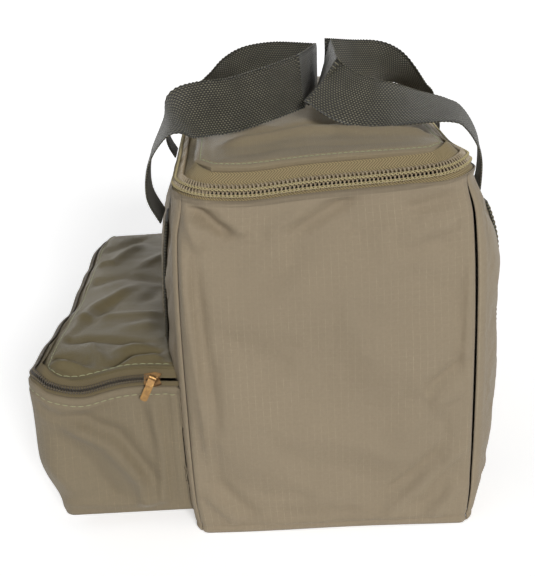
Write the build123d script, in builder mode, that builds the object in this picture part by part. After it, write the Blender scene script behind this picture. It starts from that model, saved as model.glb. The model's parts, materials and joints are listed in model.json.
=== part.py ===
from build123d import *
from math import cos, sin, radians
import os

# ---------------------------------------------------------------- driving sizes (mm)
body_width = 202.0          # main body, between the seams of an end panel
body_length = 350.0         # main body, end to end
body_height = 245.0         # floor to the top edge of the walls
side_bulge = 22.0           # how far a filled long side bows out at half height
end_bulge = 4.0             # how far a filled end bows out
seam_round = 8.0            # corner radius along the upright seams
rim_round = 28.0            # corner radius at the zip, where the walls turn in
foot_tuck = 3.0             # how far the walls draw in at the floor
rim_draw_in = 2.0           # how far the ends draw in at the zip
seam_wrap = 4.0             # how far an end panel wraps past its rounded seams

cloth = 1.0                 # coated ripstop with its backing
foam = 3.8                  # padding in walls and lid
liner = 1.0                 # fireproof inner cloth
board = 2.4                 # stiffener in the base
ply_gap = 0.2               # free space between plies

webbing_width = 38.0        # handle strap, doubled and sewn flat
webbing_thick = 1.6
handle_spread = 98.0        # leg of a handle to the middle of the bag, along its length
anchor_foot = 24.0          # lower end of the sewn webbing above the floor
anchor_top = 216.0          # where the webbing leaves the wall

slope = 45.0                # tilt of both zips
lid_crown = 5.5             # rise of the padded lid above its edge
lid_overlap = 1.5           # how far a lid reaches out over its tape
zip_end_run = 22.0          # fixed end of the zip, from the fold to the rear corners
coil_inset = 4.0            # start of the coil from the end of its tape

pocket_reach = 103.0        # outer face of the pocket from the seam of the end panel
pocket_setback = 8.0        # end of the pocket from the end of the body
pocket_foot = 16.0          # underside of the pocket above the floor
pocket_height = 97.0        # underside to the top edge of its walls
pocket_round = 22.0         # radius of its outer upright corners
pocket_taper = 15.0         # how far its walls draw in at the foot
pocket_crown = 3.0          # rise of the pocket's top above its edge
pocket_tuck = 6.0           # how far the pocket's rim runs in past the body's seam
pocket_fold_offset = 7.0    # fold of the pocket lid from the fullest part of the side

soft_gap = 0.3              # free space between pieces that move or are sewn on
fold_gap = 0.5              # free space along a fold line

# A zip: chain width, coil thickness, tape thickness, tape seen below and above the
# chain, slit between the tapes; then its slider and puller.
main_zip = dict(chain=10.5, coil=3.2, tape=0.8, below=5.0, above=11.0, slit=4.0,
                slider=20.0, plate=1.4, rod=2.0, tag=28.0, tag_width=8.4, tag_thick=1.4)
pocket_zip = dict(chain=6.0, coil=2.2, tape=0.6, below=3.0, above=6.0, slit=2.2,
                  slider=12.0, plate=0.9, rod=1.3, tag=17.0, tag_width=5.2, tag_thick=1.0)
slider_gap = 0.3            # slider to coil and to tape
tape_clear = 0.1            # coil to the tape under it
puller_hang = 54.0          # tilt of a puller's upper part below the horizontal
puller_bend = 26.0          # how far its tag is bent on downward past the slider
eye_gap = 0.25              # eye of a puller to the rod it turns on
eye_lift = 0.45             # eye of a puller to the slider's top plate
knee_clear = 1.2            # bend of a puller beyond the slider's shoulder
parking_gap = 1.0           # parked main slider to the fold of the lid
pocket_parking_gap = 2.5    # parked pocket slider to the fold of its lid

bow_fullness = 0.84         # share of a side's bow that it has at bow_station
bow_station = 0.55          # share of the half length where that is measured
coil_share = 0.12           # share of a slider's length that the closed coil runs in by
bail_share = 0.34           # half span of the bail as a share of the slider's length
lobe_share = 0.13           # shoulder beyond the waist as a share of the chain's width
eye_share = 0.8             # wall of a puller's eye as a share of the tag's thickness
start_run = 0.5             # straight run that a path keeps before a corner
least_round = 0.8           # smallest corner that a nested form keeps

# Pillow levels: distance in from the edge and share of the crown.
lid_pillow = ((0.0, 0.0), (5.0, 0.50), (18.0, 0.85), (40.0, 1.0))
pocket_pillow = ((0.0, 0.0), (4.0, 0.5), (16.0, 1.0))
lid_corner = 6.0            # least corner radius of the lid's pillow
pocket_lid_corner = 5.0     # least corner radius of the pocket's pillow

# ---------------------------------------------------------------- places worked out
half_width = body_width / 2
half_length = body_length / 2
slope_cos = cos(radians(slope))
slope_sin = sin(radians(slope))
up = Vector(0, 0, 1)
right = Vector(1, 0, 0)
front = Vector(0, -1, 0)
rear = Vector(0, 1, 0)

inner_ply = cloth + ply_gap + foam + ply_gap
wall_total = inner_ply + liner
base_top = cloth + ply_gap + board + ply_gap

rim_half_width = half_width
rim_half_length = half_length - rim_draw_in
zip_end_y = rim_half_length - rim_round
fold_y = zip_end_y - zip_end_run

pocket_rim = pocket_foot + pocket_height
pocket_outer = -(half_width + pocket_reach)
pocket_half = half_length - pocket_setback
pocket_fold_x = -(half_width + side_bulge + pocket_fold_offset)

far = 2 * body_length        # beyond every piece, for cutting blocks

parts = {}


def keep(part, name):
    """Give a finished piece its name and remember it."""
    part.label = name
    parts[name] = part


def slope_place(z, along, off=0.0):
    """Point of a zip's cross-section, as distance in from the rim and height over it."""
    return (soft_gap + along * slope_cos - off * slope_sin,
            soft_gap + along * slope_sin + off * slope_cos)


def coil_off(z):
    """Middle of the coil over the middle of its tape."""
    return z["tape"] / 2 + z["coil"] / 2


def chain_along(z):
    """Middle of the chain up the slope."""
    return z["below"] + z["chain"] / 2


def tape_end(z):
    """Upper end of the lid's tape up the slope."""
    return z["below"] + z["chain"] + z["above"]


def lid_edge(z):
    """Where a lid sits: its edge's distance in from the rim and height over it."""
    inward, rise = slope_place(z, tape_end(z), z["tape"] / 2)
    return inward - lid_overlap, rise + ply_gap


# ---------------------------------------------------------------- main body form
# Share of the height, draw-in, share of the bulge and corner radius at each level.
body_levels = (
    (0.00, foot_tuck, 0.25, seam_round + 2),
    (0.12, 1.0, 0.70, seam_round),
    (0.42, 0.0, 1.00, seam_round),
    (0.70, 0.0, 0.90, seam_round),
    (0.90, 0.5, 0.45, seam_round + 5),
    (1.00, 0.0, 0.00, rim_round),
)


def body_outline(inset, draw_in, bulge, corner):
    """Closed outline of the body: two bowed ends and two fuller bowed sides."""
    x = half_width - draw_in - inset
    y = half_length - rim_draw_in * (1 - bulge) - draw_in - inset
    side = x + side_bulge * bulge
    end = y + end_bulge * bulge
    with BuildSketch() as outline:
        with BuildLine():
            bow = x + bow_fullness * (side - x)
            for sign in (1, -1):
                Spline((sign * x, -y), (sign * bow, -bow_station * y), (sign * side, 0),
                       (sign * bow, bow_station * y), (sign * x, y))
                Spline((-x, sign * y), (0, sign * end), (x, sign * y))
        make_face()
        fillet(outline.vertices(), max(corner - inset, least_round))
    return outline.sketch


def body_form(inset):
    """Solid form of the filled body, drawn in by inset."""
    with BuildPart() as form:
        for share, draw_in, bulge, corner in body_levels:
            with BuildSketch(Plane.XY.offset(share * body_height)):
                add(body_outline(inset, draw_in, bulge, corner))
        loft()
    return form.part


def block(x_range, y_range, z_range):
    """Box between limits, for cutting a form."""
    sizes = [limits[1] - limits[0] for limits in (x_range, y_range, z_range)]
    middle = [(limits[1] + limits[0]) / 2 for limits in (x_range, y_range, z_range)]
    with BuildPart(Plane(origin=middle)) as box:
        Box(*sizes)
    return box.part


def piece(name, solid, cuts=(), keep_in=None):
    """One node: a solid with others cut away, kept inside a block."""
    with BuildPart() as made:
        add(solid)
        for cut in cuts:
            add(cut, mode=Mode.SUBTRACT)
        if keep_in is not None:
            add(keep_in, mode=Mode.INTERSECT)
    keep(made.part, name)
    return made.part


seam_y = half_length - seam_round - seam_wrap
sides = {
    "front": ((-far, far), (-far, -seam_y)),
    "back": ((-far, far), (seam_y, far)),
    "left": ((-far, 0), (-seam_y, seam_y)),
    "right": ((0, far), (-seam_y, seam_y)),
}

outer_form = body_form(0)
cloth_form = body_form(cloth)
foam_form = body_form(cloth + ply_gap)
padding_form = body_form(cloth + ply_gap + foam)
liner_form = body_form(inner_ply)
room_form = body_form(wall_total)

for side, (x_range, y_range) in sides.items():
    piece(side + "_panel", outer_form, [cloth_form], block(x_range, y_range, (0, body_height)))
    piece(side + "_foam", foam_form, [padding_form],
          block(x_range, y_range, (base_top, body_height - ply_gap)))

piece("base_panel", foam_form, [], block((-far, far), (-far, far), (0, cloth)))
piece("base_board", foam_form, [],
      block((-far, far), (-far, far), (cloth + ply_gap, base_top - ply_gap)))
inner_room = room_form.intersect(block((-far, far), (-far, far), (base_top + liner, far)))
piece("fire_liner", liner_form, [inner_room],
      block((-far, far), (-far, far), (base_top, body_height - ply_gap)))

# ---------------------------------------------------------------- sewn handle webbing
web_in = body_form(-ply_gap)
web_out = body_form(-ply_gap - webbing_thick)


def anchor_block(x_range, grow=0.0):
    """Blocks that hold the two sewn strips of one side."""
    half = webbing_width / 2 + grow
    with BuildPart() as blocks:
        for y in (-handle_spread, handle_spread):
            add(block(x_range, (y - half, y + half), (anchor_foot - grow, anchor_top)))
    return blocks.part


piece("left_handle_anchors", web_out, [web_in], anchor_block((-far, 0)))
piece("right_handle_anchors", web_out, [web_in], anchor_block((0, far)))


# ---------------------------------------------------------------- zips
def section_plane(path):
    """Plane across the start of a path: inward to the right, height upward."""
    return Plane(origin=path @ 0, x_dir=up.cross(path % 0), z_dir=path % 0)


def swept_strip(path, z, rim, start, end, thick):
    """Flat strip up the slope between two distances, carried along the rim."""
    inward, rise = slope_place(z, (start + end) / 2)
    with BuildPart() as strip:
        with BuildSketch(section_plane(path)):
            with Locations((inward, rim + rise)):
                Rectangle(end - start, thick, rotation=slope)
        sweep(path=path)
    return strip.part


def swept_coil(path, z, rim, upper):
    """One row of the coil, carried along the rim."""
    row = z["chain"] / 2 - slider_gap / 2
    shift = (z["chain"] / 2 - row / 2) * (1 if upper else -1)
    inward, rise = slope_place(z, chain_along(z) + shift, coil_off(z) + tape_clear / 2)
    with BuildPart() as coil:
        with BuildSketch(section_plane(path)):
            with Locations((inward, rim + rise)):
                SlotOverall(row, z["coil"] - tape_clear, rotation=slope)
        sweep(path=path)
    return coil.part


def u_path(points, corner):
    """Rim path that runs anticlockwise, inside on its left."""
    with BuildLine() as path:
        FilletPolyline(*points, radius=corner)
    return path.wire()


def main_rim(end):
    """Rim of the main body from the left rear round the front to the right rear."""
    x, y = rim_half_width, rim_half_length
    return u_path([(-x, end), (-x, -y), (x, -y), (x, end)], rim_round)


def stretch(path_points):
    """Straight piece of rim."""
    with BuildLine() as path:
        Line(*path_points)
    return path.wire()


def tape_edges(z):
    """Edges of the two tapes beside the slit, up the slope."""
    return chain_along(z) - z["slit"] / 2, chain_along(z) + z["slit"] / 2


main_lower, main_upper = tape_edges(main_zip)
slider_y = fold_y + fold_gap + main_zip["slider"] / 2 + parking_gap
coil_stop = slider_y - main_zip["slider"] * coil_share


def main_strip(path, start, end, thick):
    """Strip on the slope over the rim of the main body."""
    return swept_strip(path, main_zip, body_height, start, end, thick)


def main_coil(path, upper):
    """One coil row on the slope over the rim of the main body."""
    return swept_coil(path, main_zip, body_height, upper)


lid_zip_run = main_rim(fold_y - fold_gap / 2)
keep(main_strip(main_rim(zip_end_y), 0, main_lower, main_zip["tape"]), "body_zip_tape")
keep(main_coil(main_rim(coil_stop), False), "body_zip_coil")
keep(main_strip(lid_zip_run, main_upper, tape_end(main_zip), main_zip["tape"]), "lid_zip_tape")
keep(main_coil(lid_zip_run, True), "lid_zip_coil")

# The fixed ends of the lid's row: path of the tape, then path of the coil.
fixed_start = fold_y + fold_gap / 2
end_runs = {
    "left": (((-rim_half_width, zip_end_y), (-rim_half_width, fixed_start)),
             ((-rim_half_width, zip_end_y - coil_inset), (-rim_half_width, fixed_start))),
    "right": (((rim_half_width, fixed_start), (rim_half_width, zip_end_y)),
              ((rim_half_width, fixed_start), (rim_half_width, coil_stop))),
}
for side, (tape_run, coil_run) in end_runs.items():
    with BuildPart() as zip_end:
        add(main_strip(stretch(tape_run), main_upper, tape_end(main_zip), main_zip["tape"]))
        add(main_coil(stretch(coil_run), True))
    keep(zip_end.part, side + "_zip_end")

bevel_start = zip_end_y + ply_gap
rear_rim = u_path([(rim_half_width, bevel_start), (rim_half_width, rim_half_length),
                   (-rim_half_width, rim_half_length), (-rim_half_width, bevel_start)],
                  rim_round - ply_gap - start_run)
keep(main_strip(rear_rim, cloth / 2, tape_end(main_zip), cloth), "rear_bevel")


# ---------------------------------------------------------------- padded lid
def main_lid_form(drop):
    """Pillow of the lid, lowered by drop."""
    inward, rise = lid_edge(main_zip)
    seat = body_height + rise
    with BuildPart() as pillow:
        for spread, lift in lid_pillow:
            with BuildSketch(Plane.XY.offset(seat + lift * lid_crown - drop)):
                inset = inward + spread
                RectangleRounded(2 * (rim_half_width - inset), 2 * (rim_half_length - inset),
                                 max(rim_round - inset, lid_corner))
        loft()
    return pillow.part


lid_seat = body_height + lid_edge(main_zip)[1]
lid_end_y = fold_y - fold_gap / 2
lining_inset = slope_place(main_zip, tape_end(main_zip))[0] + liner
lining_top = lid_seat - ply_gap
for prefix, y_range in (("lid", (-far, lid_end_y)), ("rear_top", (fixed_start, far))):
    above_seat = block((-far, far), y_range, (lid_seat, far))
    piece(prefix + "_panel", main_lid_form(0), [main_lid_form(cloth)], above_seat)
    piece(prefix + "_foam", main_lid_form(cloth + ply_gap), [], above_seat)
    with BuildPart() as lining:
        with BuildSketch(Plane.XY.offset(lining_top)):
            RectangleRounded(2 * (rim_half_width - lining_inset),
                             2 * (rim_half_length - lining_inset), rim_round - lining_inset)
        extrude(amount=-liner)
    piece(prefix + "_liner", lining.part, [], block((-far, far), y_range, (0, far)))

# ---------------------------------------------------------------- side pocket
# Share of the height and draw-in at each level.
pocket_levels = ((0.0, pocket_taper), (0.35, pocket_taper * 0.3), (1.0, 0.0))


def pocket_form(inset):
    """Solid form of the filled pocket; its inner side runs on under the body."""
    with BuildPart() as form:
        for share, draw_in in pocket_levels:
            outer = pocket_outer + draw_in + inset
            half = pocket_half - draw_in * 0.5 - inset
            with BuildSketch(Plane.XY.offset(pocket_foot + share * pocket_height)):
                with Locations((outer / 2, 0)):
                    RectangleRounded(-outer, 2 * half, pocket_round - inset)
        loft()
    return form.part


clear_body = body_form(-soft_gap)
clear_web = body_form(-ply_gap - webbing_thick - soft_gap).intersect(
    anchor_block((-far, 0), grow=soft_gap))
body_cuts = [clear_body, clear_web]

pocket_shell = pocket_form(0)
pocket_room = pocket_form(cloth)
corner_y = pocket_half - pocket_round
wall_z = (pocket_foot + cloth + ply_gap, pocket_rim)
pocket_walls = {
    "pocket_front_wall": ((-far, 0), (-far, -corner_y), wall_z),
    "pocket_outer_wall": ((-far, 0), (-corner_y, corner_y), wall_z),
    "pocket_rear_wall": ((-far, 0), (corner_y, far), wall_z),
}
for name, limits in pocket_walls.items():
    piece(name, pocket_shell, [pocket_room] + body_cuts, block(*limits))
piece("pocket_base", pocket_shell, body_cuts,
      block((-far, 0), (-far, far), (pocket_foot, pocket_foot + cloth)))

pocket_lower, pocket_upper = tape_edges(pocket_zip)
pocket_slider_x = pocket_fold_x + fold_gap + pocket_zip["slider"] / 2 + pocket_parking_gap
pocket_coil_stop = pocket_slider_x - pocket_zip["slider"] * coil_share
near_body = -(half_width - pocket_tuck)
fold_end = pocket_fold_x - fold_gap / 2
fold_start = pocket_fold_x + fold_gap / 2


def pocket_rim_path(rear_end, front_end):
    """Rim of the pocket from the rear, round the outer side, to the front."""
    return u_path([(rear_end, pocket_half), (pocket_outer, pocket_half),
                   (pocket_outer, -pocket_half), (front_end, -pocket_half)], pocket_round)


def pocket_strip(path, start, end):
    """Tape on the slope over the rim of the pocket."""
    return swept_strip(path, pocket_zip, pocket_rim, start, end, pocket_zip["tape"])


def pocket_coil(path, upper):
    """One coil row on the slope over the rim of the pocket."""
    return swept_coil(path, pocket_zip, pocket_rim, upper)


whole_rim = pocket_rim_path(near_body, near_body)
lid_rim = pocket_rim_path(fold_end, fold_end)
piece("pocket_zip_tape", pocket_strip(whole_rim, 0, pocket_lower), body_cuts)
piece("pocket_zip_coil", pocket_coil(pocket_rim_path(near_body, pocket_coil_stop), False),
      body_cuts)
keep(pocket_strip(lid_rim, pocket_upper, tape_end(pocket_zip)), "pocket_lid_zip_tape")
keep(pocket_coil(lid_rim, True), "pocket_lid_zip_coil")

# The fixed ends of the lid's row beside the body: path of the tape, path of the coil.
pocket_runs = {
    "pocket_rear_zip_end": (((near_body, pocket_half), (fold_start, pocket_half)),
                            ((near_body, pocket_half), (fold_start, pocket_half))),
    "pocket_front_zip_end": (((fold_start, -pocket_half), (near_body, -pocket_half)),
                             ((fold_start, -pocket_half), (pocket_coil_stop, -pocket_half))),
}
for name, (tape_run, coil_run) in pocket_runs.items():
    with BuildPart() as zip_end:
        add(pocket_strip(stretch(tape_run), pocket_upper, tape_end(pocket_zip)))
        add(pocket_coil(stretch(coil_run), True))
    piece(name, zip_end.part, body_cuts)


def pocket_lid_form(drop):
    """Top of the pocket: a shallow pillow that runs on under the body."""
    inward, rise = lid_edge(pocket_zip)
    seat = pocket_rim + rise
    with BuildPart() as pillow:
        for spread, lift in pocket_pillow:
            outer = pocket_outer + inward + spread
            half = pocket_half - inward - spread
            with BuildSketch(Plane.XY.offset(seat + lift * pocket_crown - drop)):
                with Locations((outer / 2, 0)):
                    RectangleRounded(-outer, 2 * half,
                                     max(pocket_round - inward - spread, pocket_lid_corner))
        loft()
    return pillow.part


pocket_seat = pocket_rim + lid_edge(pocket_zip)[1]
pocket_top = pocket_lid_form(0)
pocket_under = pocket_lid_form(cloth)
piece("pocket_lid_panel", pocket_top, [pocket_under],
      block((-far, fold_end), (-far, far), (pocket_seat, far)))
piece("pocket_top_strip", pocket_top, [pocket_under] + body_cuts,
      block((fold_start, 0), (-far, far), (pocket_seat, far)))


# ---------------------------------------------------------------- sliders and pullers
def chain_point(z, rim, rim_place, outward):
    """Middle of the chain's coil at a place on the rim."""
    inward, rise = slope_place(z, chain_along(z), coil_off(z))
    return Vector(*rim_place, rim + rise) - outward * inward


def tilted(point, chain, outward, tilt):
    """Plane whose x runs along the chain and whose face leans outward by tilt."""
    lean = radians(tilt)
    return Plane(origin=point, x_dir=chain, z_dir=outward * sin(lean) + up * cos(lean))


def waist_half(z):
    """Half width of a slider where the closed chain leaves it."""
    return z["chain"] / 2 + slider_gap + z["plate"]


def shoulder_half(z):
    """Half width of a slider at its shoulders."""
    return waist_half(z) + z["chain"] * lobe_share


def plate_outline(z):
    """Top view of a slider: narrow where the closed chain leaves, two lobes at the mouth."""
    length = z["slider"] / 2
    waist = waist_half(z)
    shoulder = shoulder_half(z)
    with BuildSketch() as plate:
        with BuildLine():
            half = Polyline((-length, 0), (-length, waist * 0.93), (length * 0.25, shoulder),
                            (length, shoulder * 0.72), (length * 0.70, 0))
            mirror(half, about=Plane.XZ)
        make_face()
    return plate.sketch


def eye_radii(z):
    """Inner and outer radius of the eye that a puller's upper end is rolled into."""
    inner = z["rod"] / 2 + eye_gap
    return inner, inner + z["tag_thick"] * eye_share


def rod_height(z):
    """Axis of the bail's rod over the top plate."""
    return eye_radii(z)[1] + eye_lift


def top_face(z):
    """Outer face of the top plate over the middle of the coil."""
    return z["coil"] / 2 + slider_gap + z["plate"]


def make_slider(name, z, plane):
    """Coil zip slider: two plates, side flanges, the diamond between them and the bail."""
    coil_top = z["coil"] / 2 + slider_gap
    tape_under = -coil_off(z) - z["tape"] / 2 - slider_gap
    tape_over = -coil_off(z) + z["tape"] / 2 + slider_gap
    span = z["slider"] * bail_share
    wedge = z["slit"] / 2 - slider_gap
    with BuildPart(plane) as slider:
        with BuildSketch(plane.offset(coil_top)):
            add(plate_outline(z))
        extrude(amount=z["plate"])
        with BuildSketch(plane.offset(tape_under)):
            add(plate_outline(z))
        extrude(amount=-z["plate"])
        with BuildSketch(plane.offset(tape_over)):
            add(plate_outline(z))
            with BuildSketch(mode=Mode.SUBTRACT):
                Rectangle(z["slider"] * 2, z["chain"] + 2 * slider_gap)
        extrude(amount=coil_top - tape_over)
        with BuildSketch(plane.offset(tape_under)):
            with BuildLine():
                Polyline((0.05 * z["slider"], 0), (0.24 * z["slider"], wedge),
                         (0.36 * z["slider"], wedge * 0.8), (0.36 * z["slider"], -wedge * 0.8),
                         (0.24 * z["slider"], -wedge), (0.05 * z["slider"], 0))
            make_face()
        extrude(amount=coil_top - tape_under)
        with BuildLine(Plane(plane.origin, x_dir=plane.x_dir, z_dir=-plane.y_dir)) as staple:
            foot = top_face(z) - z["plate"] / 2
            crest = top_face(z) + rod_height(z)
            FilletPolyline((-span, foot), (-span, crest), (span, crest), (span, foot),
                           radius=z["rod"] * 0.8)
        with BuildSketch(Plane(origin=staple.line @ 0, z_dir=staple.line % 0)):
            Circle(z["rod"] / 2)
        sweep(path=staple.line)
    keep(slider.part, name)


def make_puller(name, z, plane):
    """Flat tag whose upper end is rolled into an eye round the bail's rod."""
    eye_in, eye_out = eye_radii(z)
    width = z["tag_width"]
    across = Plane(origin=plane.origin, x_dir=plane.y_dir, z_dir=plane.x_dir)
    knee = shoulder_half(z) + knee_clear
    tail = z["tag"] - knee
    with BuildPart(plane) as puller:
        with BuildSketch(across.offset(-width / 2)):
            Circle(eye_out)
            with Locations((-knee / 2, 0)):
                Rectangle(knee, z["tag_thick"])
            with Locations(Location((-knee, 0), puller_bend)):
                with Locations((-tail / 2, 0)):
                    Rectangle(tail + z["tag_thick"] * 0.4, z["tag_thick"])
            Circle(eye_in, mode=Mode.SUBTRACT)
        extrude(amount=width)
        tip = puller.faces().sort_by(Axis(plane.origin, plane.y_dir))[0]
        chamfer(tip.edges().filter_by(Axis(plane.origin, plane.y_dir.cross(plane.x_dir)),
                                      tolerance=puller_bend + 1.0), width * 0.2)
    keep(puller.part, name)


def rod_point(z, slider_plane):
    """Middle of the bail's rod."""
    return slider_plane.origin + slider_plane.z_dir * (top_face(z) + rod_height(z))


main_point = chain_point(main_zip, body_height, (rim_half_width, slider_y), right)
main_slider_plane = tilted(main_point, rear, right, slope)
make_slider("main_slider", main_zip, main_slider_plane)
make_puller("main_puller", main_zip,
            tilted(rod_point(main_zip, main_slider_plane), rear, right, puller_hang))

pocket_point = chain_point(pocket_zip, pocket_rim, (pocket_slider_x, -pocket_half), front)
pocket_slider_plane = tilted(pocket_point, right, front, slope)
make_slider("pocket_slider", pocket_zip, pocket_slider_plane)
make_puller("pocket_puller", pocket_zip,
            tilted(rod_point(pocket_zip, pocket_slider_plane), right, front, puller_hang))

# ---------------------------------------------------------------- handles
# Middle of the band and its roll: 0 or 180 lies flat to the wall, 90 stands on edge.
# Places along the bag are shares of the leg's place, places across and heights are
# taken from the top of the sewn strips.
left_route = (
    (-6, -1.00, 18, 0), (-5, -1.01, 40, 4), (7, -1.04, 62, 20), (24, -1.06, 73, 55),
    (47, -1.04, 78, 88), (75, -0.94, 82, 90), (97, -0.76, 88, 90), (107, -0.45, 86, 90),
    (110, 0.0, 80, 90), (110, 0.35, 77, 90), (98, 0.60, 76, 90), (75, 0.74, 76, 92),
    (46, 0.84, 75, 110), (22, 0.93, 61, 145), (3, 0.99, 42, 175), (-6, 1.00, 18, 180),
)
right_route = (
    (-6, -1.00, 18, 0), (-5, -1.00, 40, 3), (9, -1.03, 62, 10), (30, -1.06, 72, 30),
    (54, -1.06, 75, 58), (78, -1.03, 78, 82), (95, -0.88, 80, 90), (101, -0.50, 80, 90),
    (100, 0.0, 79, 90), (96, 0.38, 77, 90), (82, 0.64, 76, 90), (58, 0.80, 76, 98),
    (33, 0.90, 74, 125), (12, 0.97, 59, 155), (-6, 1.00, 38, 178), (-8, 1.00, 17, 180),
)


def ribbon(name, side, route, strip):
    """Band of webbing along a route from the top of one sewn strip to the other."""
    top = strip.center() + up * soft_gap
    edge = strip.edges().sort_by(SortBy.LENGTH)[-1]
    lie = (edge @ 1 - edge @ 0).normalized()
    lie = lie * (1 if lie.Y > 0 else -1)
    spots = [Vector(top.X, -handle_spread, top.Z)]
    spots += [Vector(top.X - side * reach, share * handle_spread, top.Z + rise)
              for reach, share, rise, roll in route]
    spots.append(Vector(top.X, handle_spread, top.Z))
    rolls = [0] + [roll for reach, share, rise, roll in route] + [180]
    sections = []
    for index, (spot, roll) in enumerate(zip(spots, rolls)):
        run = (spots[min(index + 1, len(spots) - 1)] - spots[max(index - 1, 0)]).normalized()
        if index in (0, len(spots) - 1):
            run = up * (1 if index == 0 else -1)
        across = Vector(lie.X, lie.Y * cos(radians(roll)), sin(radians(roll)))
        across = across - run * across.dot(run)
        with BuildSketch(Plane(origin=spot, x_dir=across, z_dir=run)) as section:
            Rectangle(webbing_width, webbing_thick)
        sections.append(section.sketch)
    with BuildPart() as band:
        for lower, upper in zip(sections, sections[1:]):
            loft([lower, upper], ruled=True)
    keep(band.part, name)


for side, name, route in ((-1, "left", left_route), (1, "right", right_route)):
    strip_top = parts[name + "_handle_anchors"].faces().group_by(Axis.Z)[-1].sort_by(Axis.Y)[0]
    ribbon(name + "_handle", side, route, strip_top)

# ---------------------------------------------------------------- write the pieces
os.makedirs("parts", exist_ok=True)
for name, part in parts.items():
    export_step(part, "parts/" + name + ".step")
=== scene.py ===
"""A soft khaki bag with a zipped padded lid, a zipped side pocket and webbing handles."""

import bpy
from math import ceil, cos, exp, pi, radians, sin, sqrt
from mathutils import Euler, Matrix, Vector, noise
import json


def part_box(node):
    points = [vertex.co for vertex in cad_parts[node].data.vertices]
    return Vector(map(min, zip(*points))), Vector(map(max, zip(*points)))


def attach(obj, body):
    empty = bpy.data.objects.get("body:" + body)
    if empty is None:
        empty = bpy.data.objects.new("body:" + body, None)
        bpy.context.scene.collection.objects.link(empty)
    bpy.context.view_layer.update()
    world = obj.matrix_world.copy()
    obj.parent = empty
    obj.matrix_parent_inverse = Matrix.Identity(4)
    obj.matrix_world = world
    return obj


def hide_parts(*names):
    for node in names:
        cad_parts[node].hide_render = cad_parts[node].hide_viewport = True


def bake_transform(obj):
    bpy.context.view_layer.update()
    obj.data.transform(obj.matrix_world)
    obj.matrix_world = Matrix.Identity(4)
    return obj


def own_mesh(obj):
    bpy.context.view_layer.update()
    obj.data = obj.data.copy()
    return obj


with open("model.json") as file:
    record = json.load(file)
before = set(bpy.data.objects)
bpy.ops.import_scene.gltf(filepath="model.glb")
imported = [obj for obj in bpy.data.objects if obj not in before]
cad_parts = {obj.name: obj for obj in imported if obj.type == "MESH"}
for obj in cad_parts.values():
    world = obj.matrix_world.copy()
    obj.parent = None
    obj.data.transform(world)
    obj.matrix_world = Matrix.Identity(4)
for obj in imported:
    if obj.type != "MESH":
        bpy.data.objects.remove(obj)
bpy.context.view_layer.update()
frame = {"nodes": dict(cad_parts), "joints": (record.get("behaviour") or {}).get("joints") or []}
mm = 0.001
up = Vector((0, 0, 1))

# ---------------------------------------------------------------- sizes from the frame
rim_low, rim_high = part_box("body_zip_tape")
rim_x, rim_y, rim_z = rim_high.x, -rim_low.y, rim_low.z
side_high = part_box("right_panel")[1]
end_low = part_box("front_panel")[0]
hinges = {joint["name"]: joint for joint in frame["joints"]}
fold_y, lid_top_z = hinges["lid_hinge"]["pos_m"][1:]
pocket_fold_x = hinges["pocket_lid_hinge"]["pos_m"][0]
zip_end_y = rim_high.y
pocket_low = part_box("pocket_outer_wall")[0]
pocket_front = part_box("pocket_front_wall")[0].y
pocket_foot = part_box("pocket_base")[0].z
pocket_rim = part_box("pocket_zip_tape")[0].z
pocket_lid_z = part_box("pocket_lid_panel")[1].z
strip_low, strip_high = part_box("right_handle_anchors")

rim_round = 28 * mm
pocket_round = 22 * mm
cloth = 1.0 * mm
thin_cloth = 0.8 * mm
fine_cloth = 0.9 * mm
lid_cloth_thick = 1.4 * mm
web_width = 38 * mm
web_thick = 1.6 * mm
strip_middle = strip_high.y - web_width / 2
seam_gap = 0.3 * mm
tilt = sqrt(0.5)
main_zip = dict(chain=10.5 * mm, coil=3.2 * mm, tape=0.8 * mm, below=5.0 * mm,
                above=11.0 * mm, slit=4.0 * mm, pitch=2.7 * mm, wire=0.60 * mm)
pocket_zip = dict(chain=6.0 * mm, coil=2.2 * mm, tape=0.6 * mm, below=3.0 * mm,
                  above=6.0 * mm, slit=2.2 * mm, pitch=1.8 * mm, wire=0.36 * mm)


# ---------------------------------------------------------------- small helpers
def smooth(low, high, value):
    """0 below low, 1 above high and a soft step between."""
    share = min(max((value - low) / (high - low), 0.0), 1.0)
    return share * share * (3 - 2 * share)


def mound(distance, width):
    """Soft bump of height 1 that fades with distance."""
    return exp(-(distance / width) ** 2)


def fold_at(x, y, start, end, width, height):
    """Height of a fold along a line, fading at both ends; a negative height is a crease."""
    ax, ay = start
    dx, dy = end[0] - ax, end[1] - ay
    run = dx * dx + dy * dy
    share = ((x - ax) * dx + (y - ay) * dy) / run
    off = abs((x - ax) * dy - (y - ay) * dx) / sqrt(run)
    fade = smooth(-0.15, 0.25, share) * (1 - smooth(0.75, 1.15, share))
    return height * mound(off, width) * fade


def with_folds(height, x, y, folds):
    """The height with folds added to it; each fold is (start, end, width, height)."""
    for fold in folds:
        height += fold_at(x, y, *fold)
    return height


def folds_along(x, y, folds):
    """Sum of folds that follow lines of points; each is (points, width, height)."""
    total = 0.0
    for points, width, height in folds:
        best = 0.0
        last = len(points) - 2
        for index, (start, end) in enumerate(zip(points, points[1:])):
            ax, ay = start
            dx, dy = end[0] - ax, end[1] - ay
            share = ((x - ax) * dx + (y - ay) * dy) / (dx * dx + dy * dy)
            low = -0.3 if index == 0 else 0.0
            high = 1.3 if index == last else 1.0
            near = min(max(share, low), high)
            off = sqrt((x - ax - dx * near) ** 2 + (y - ay - dy * near) ** 2)
            fade = smooth(-0.3, 0.3, share) if index == 0 else 1.0
            fade *= 1 - smooth(0.7, 1.3, share) if index == last else 1.0
            best = max(best, mound(off, width) * fade)
        total += height * best
    return total


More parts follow.
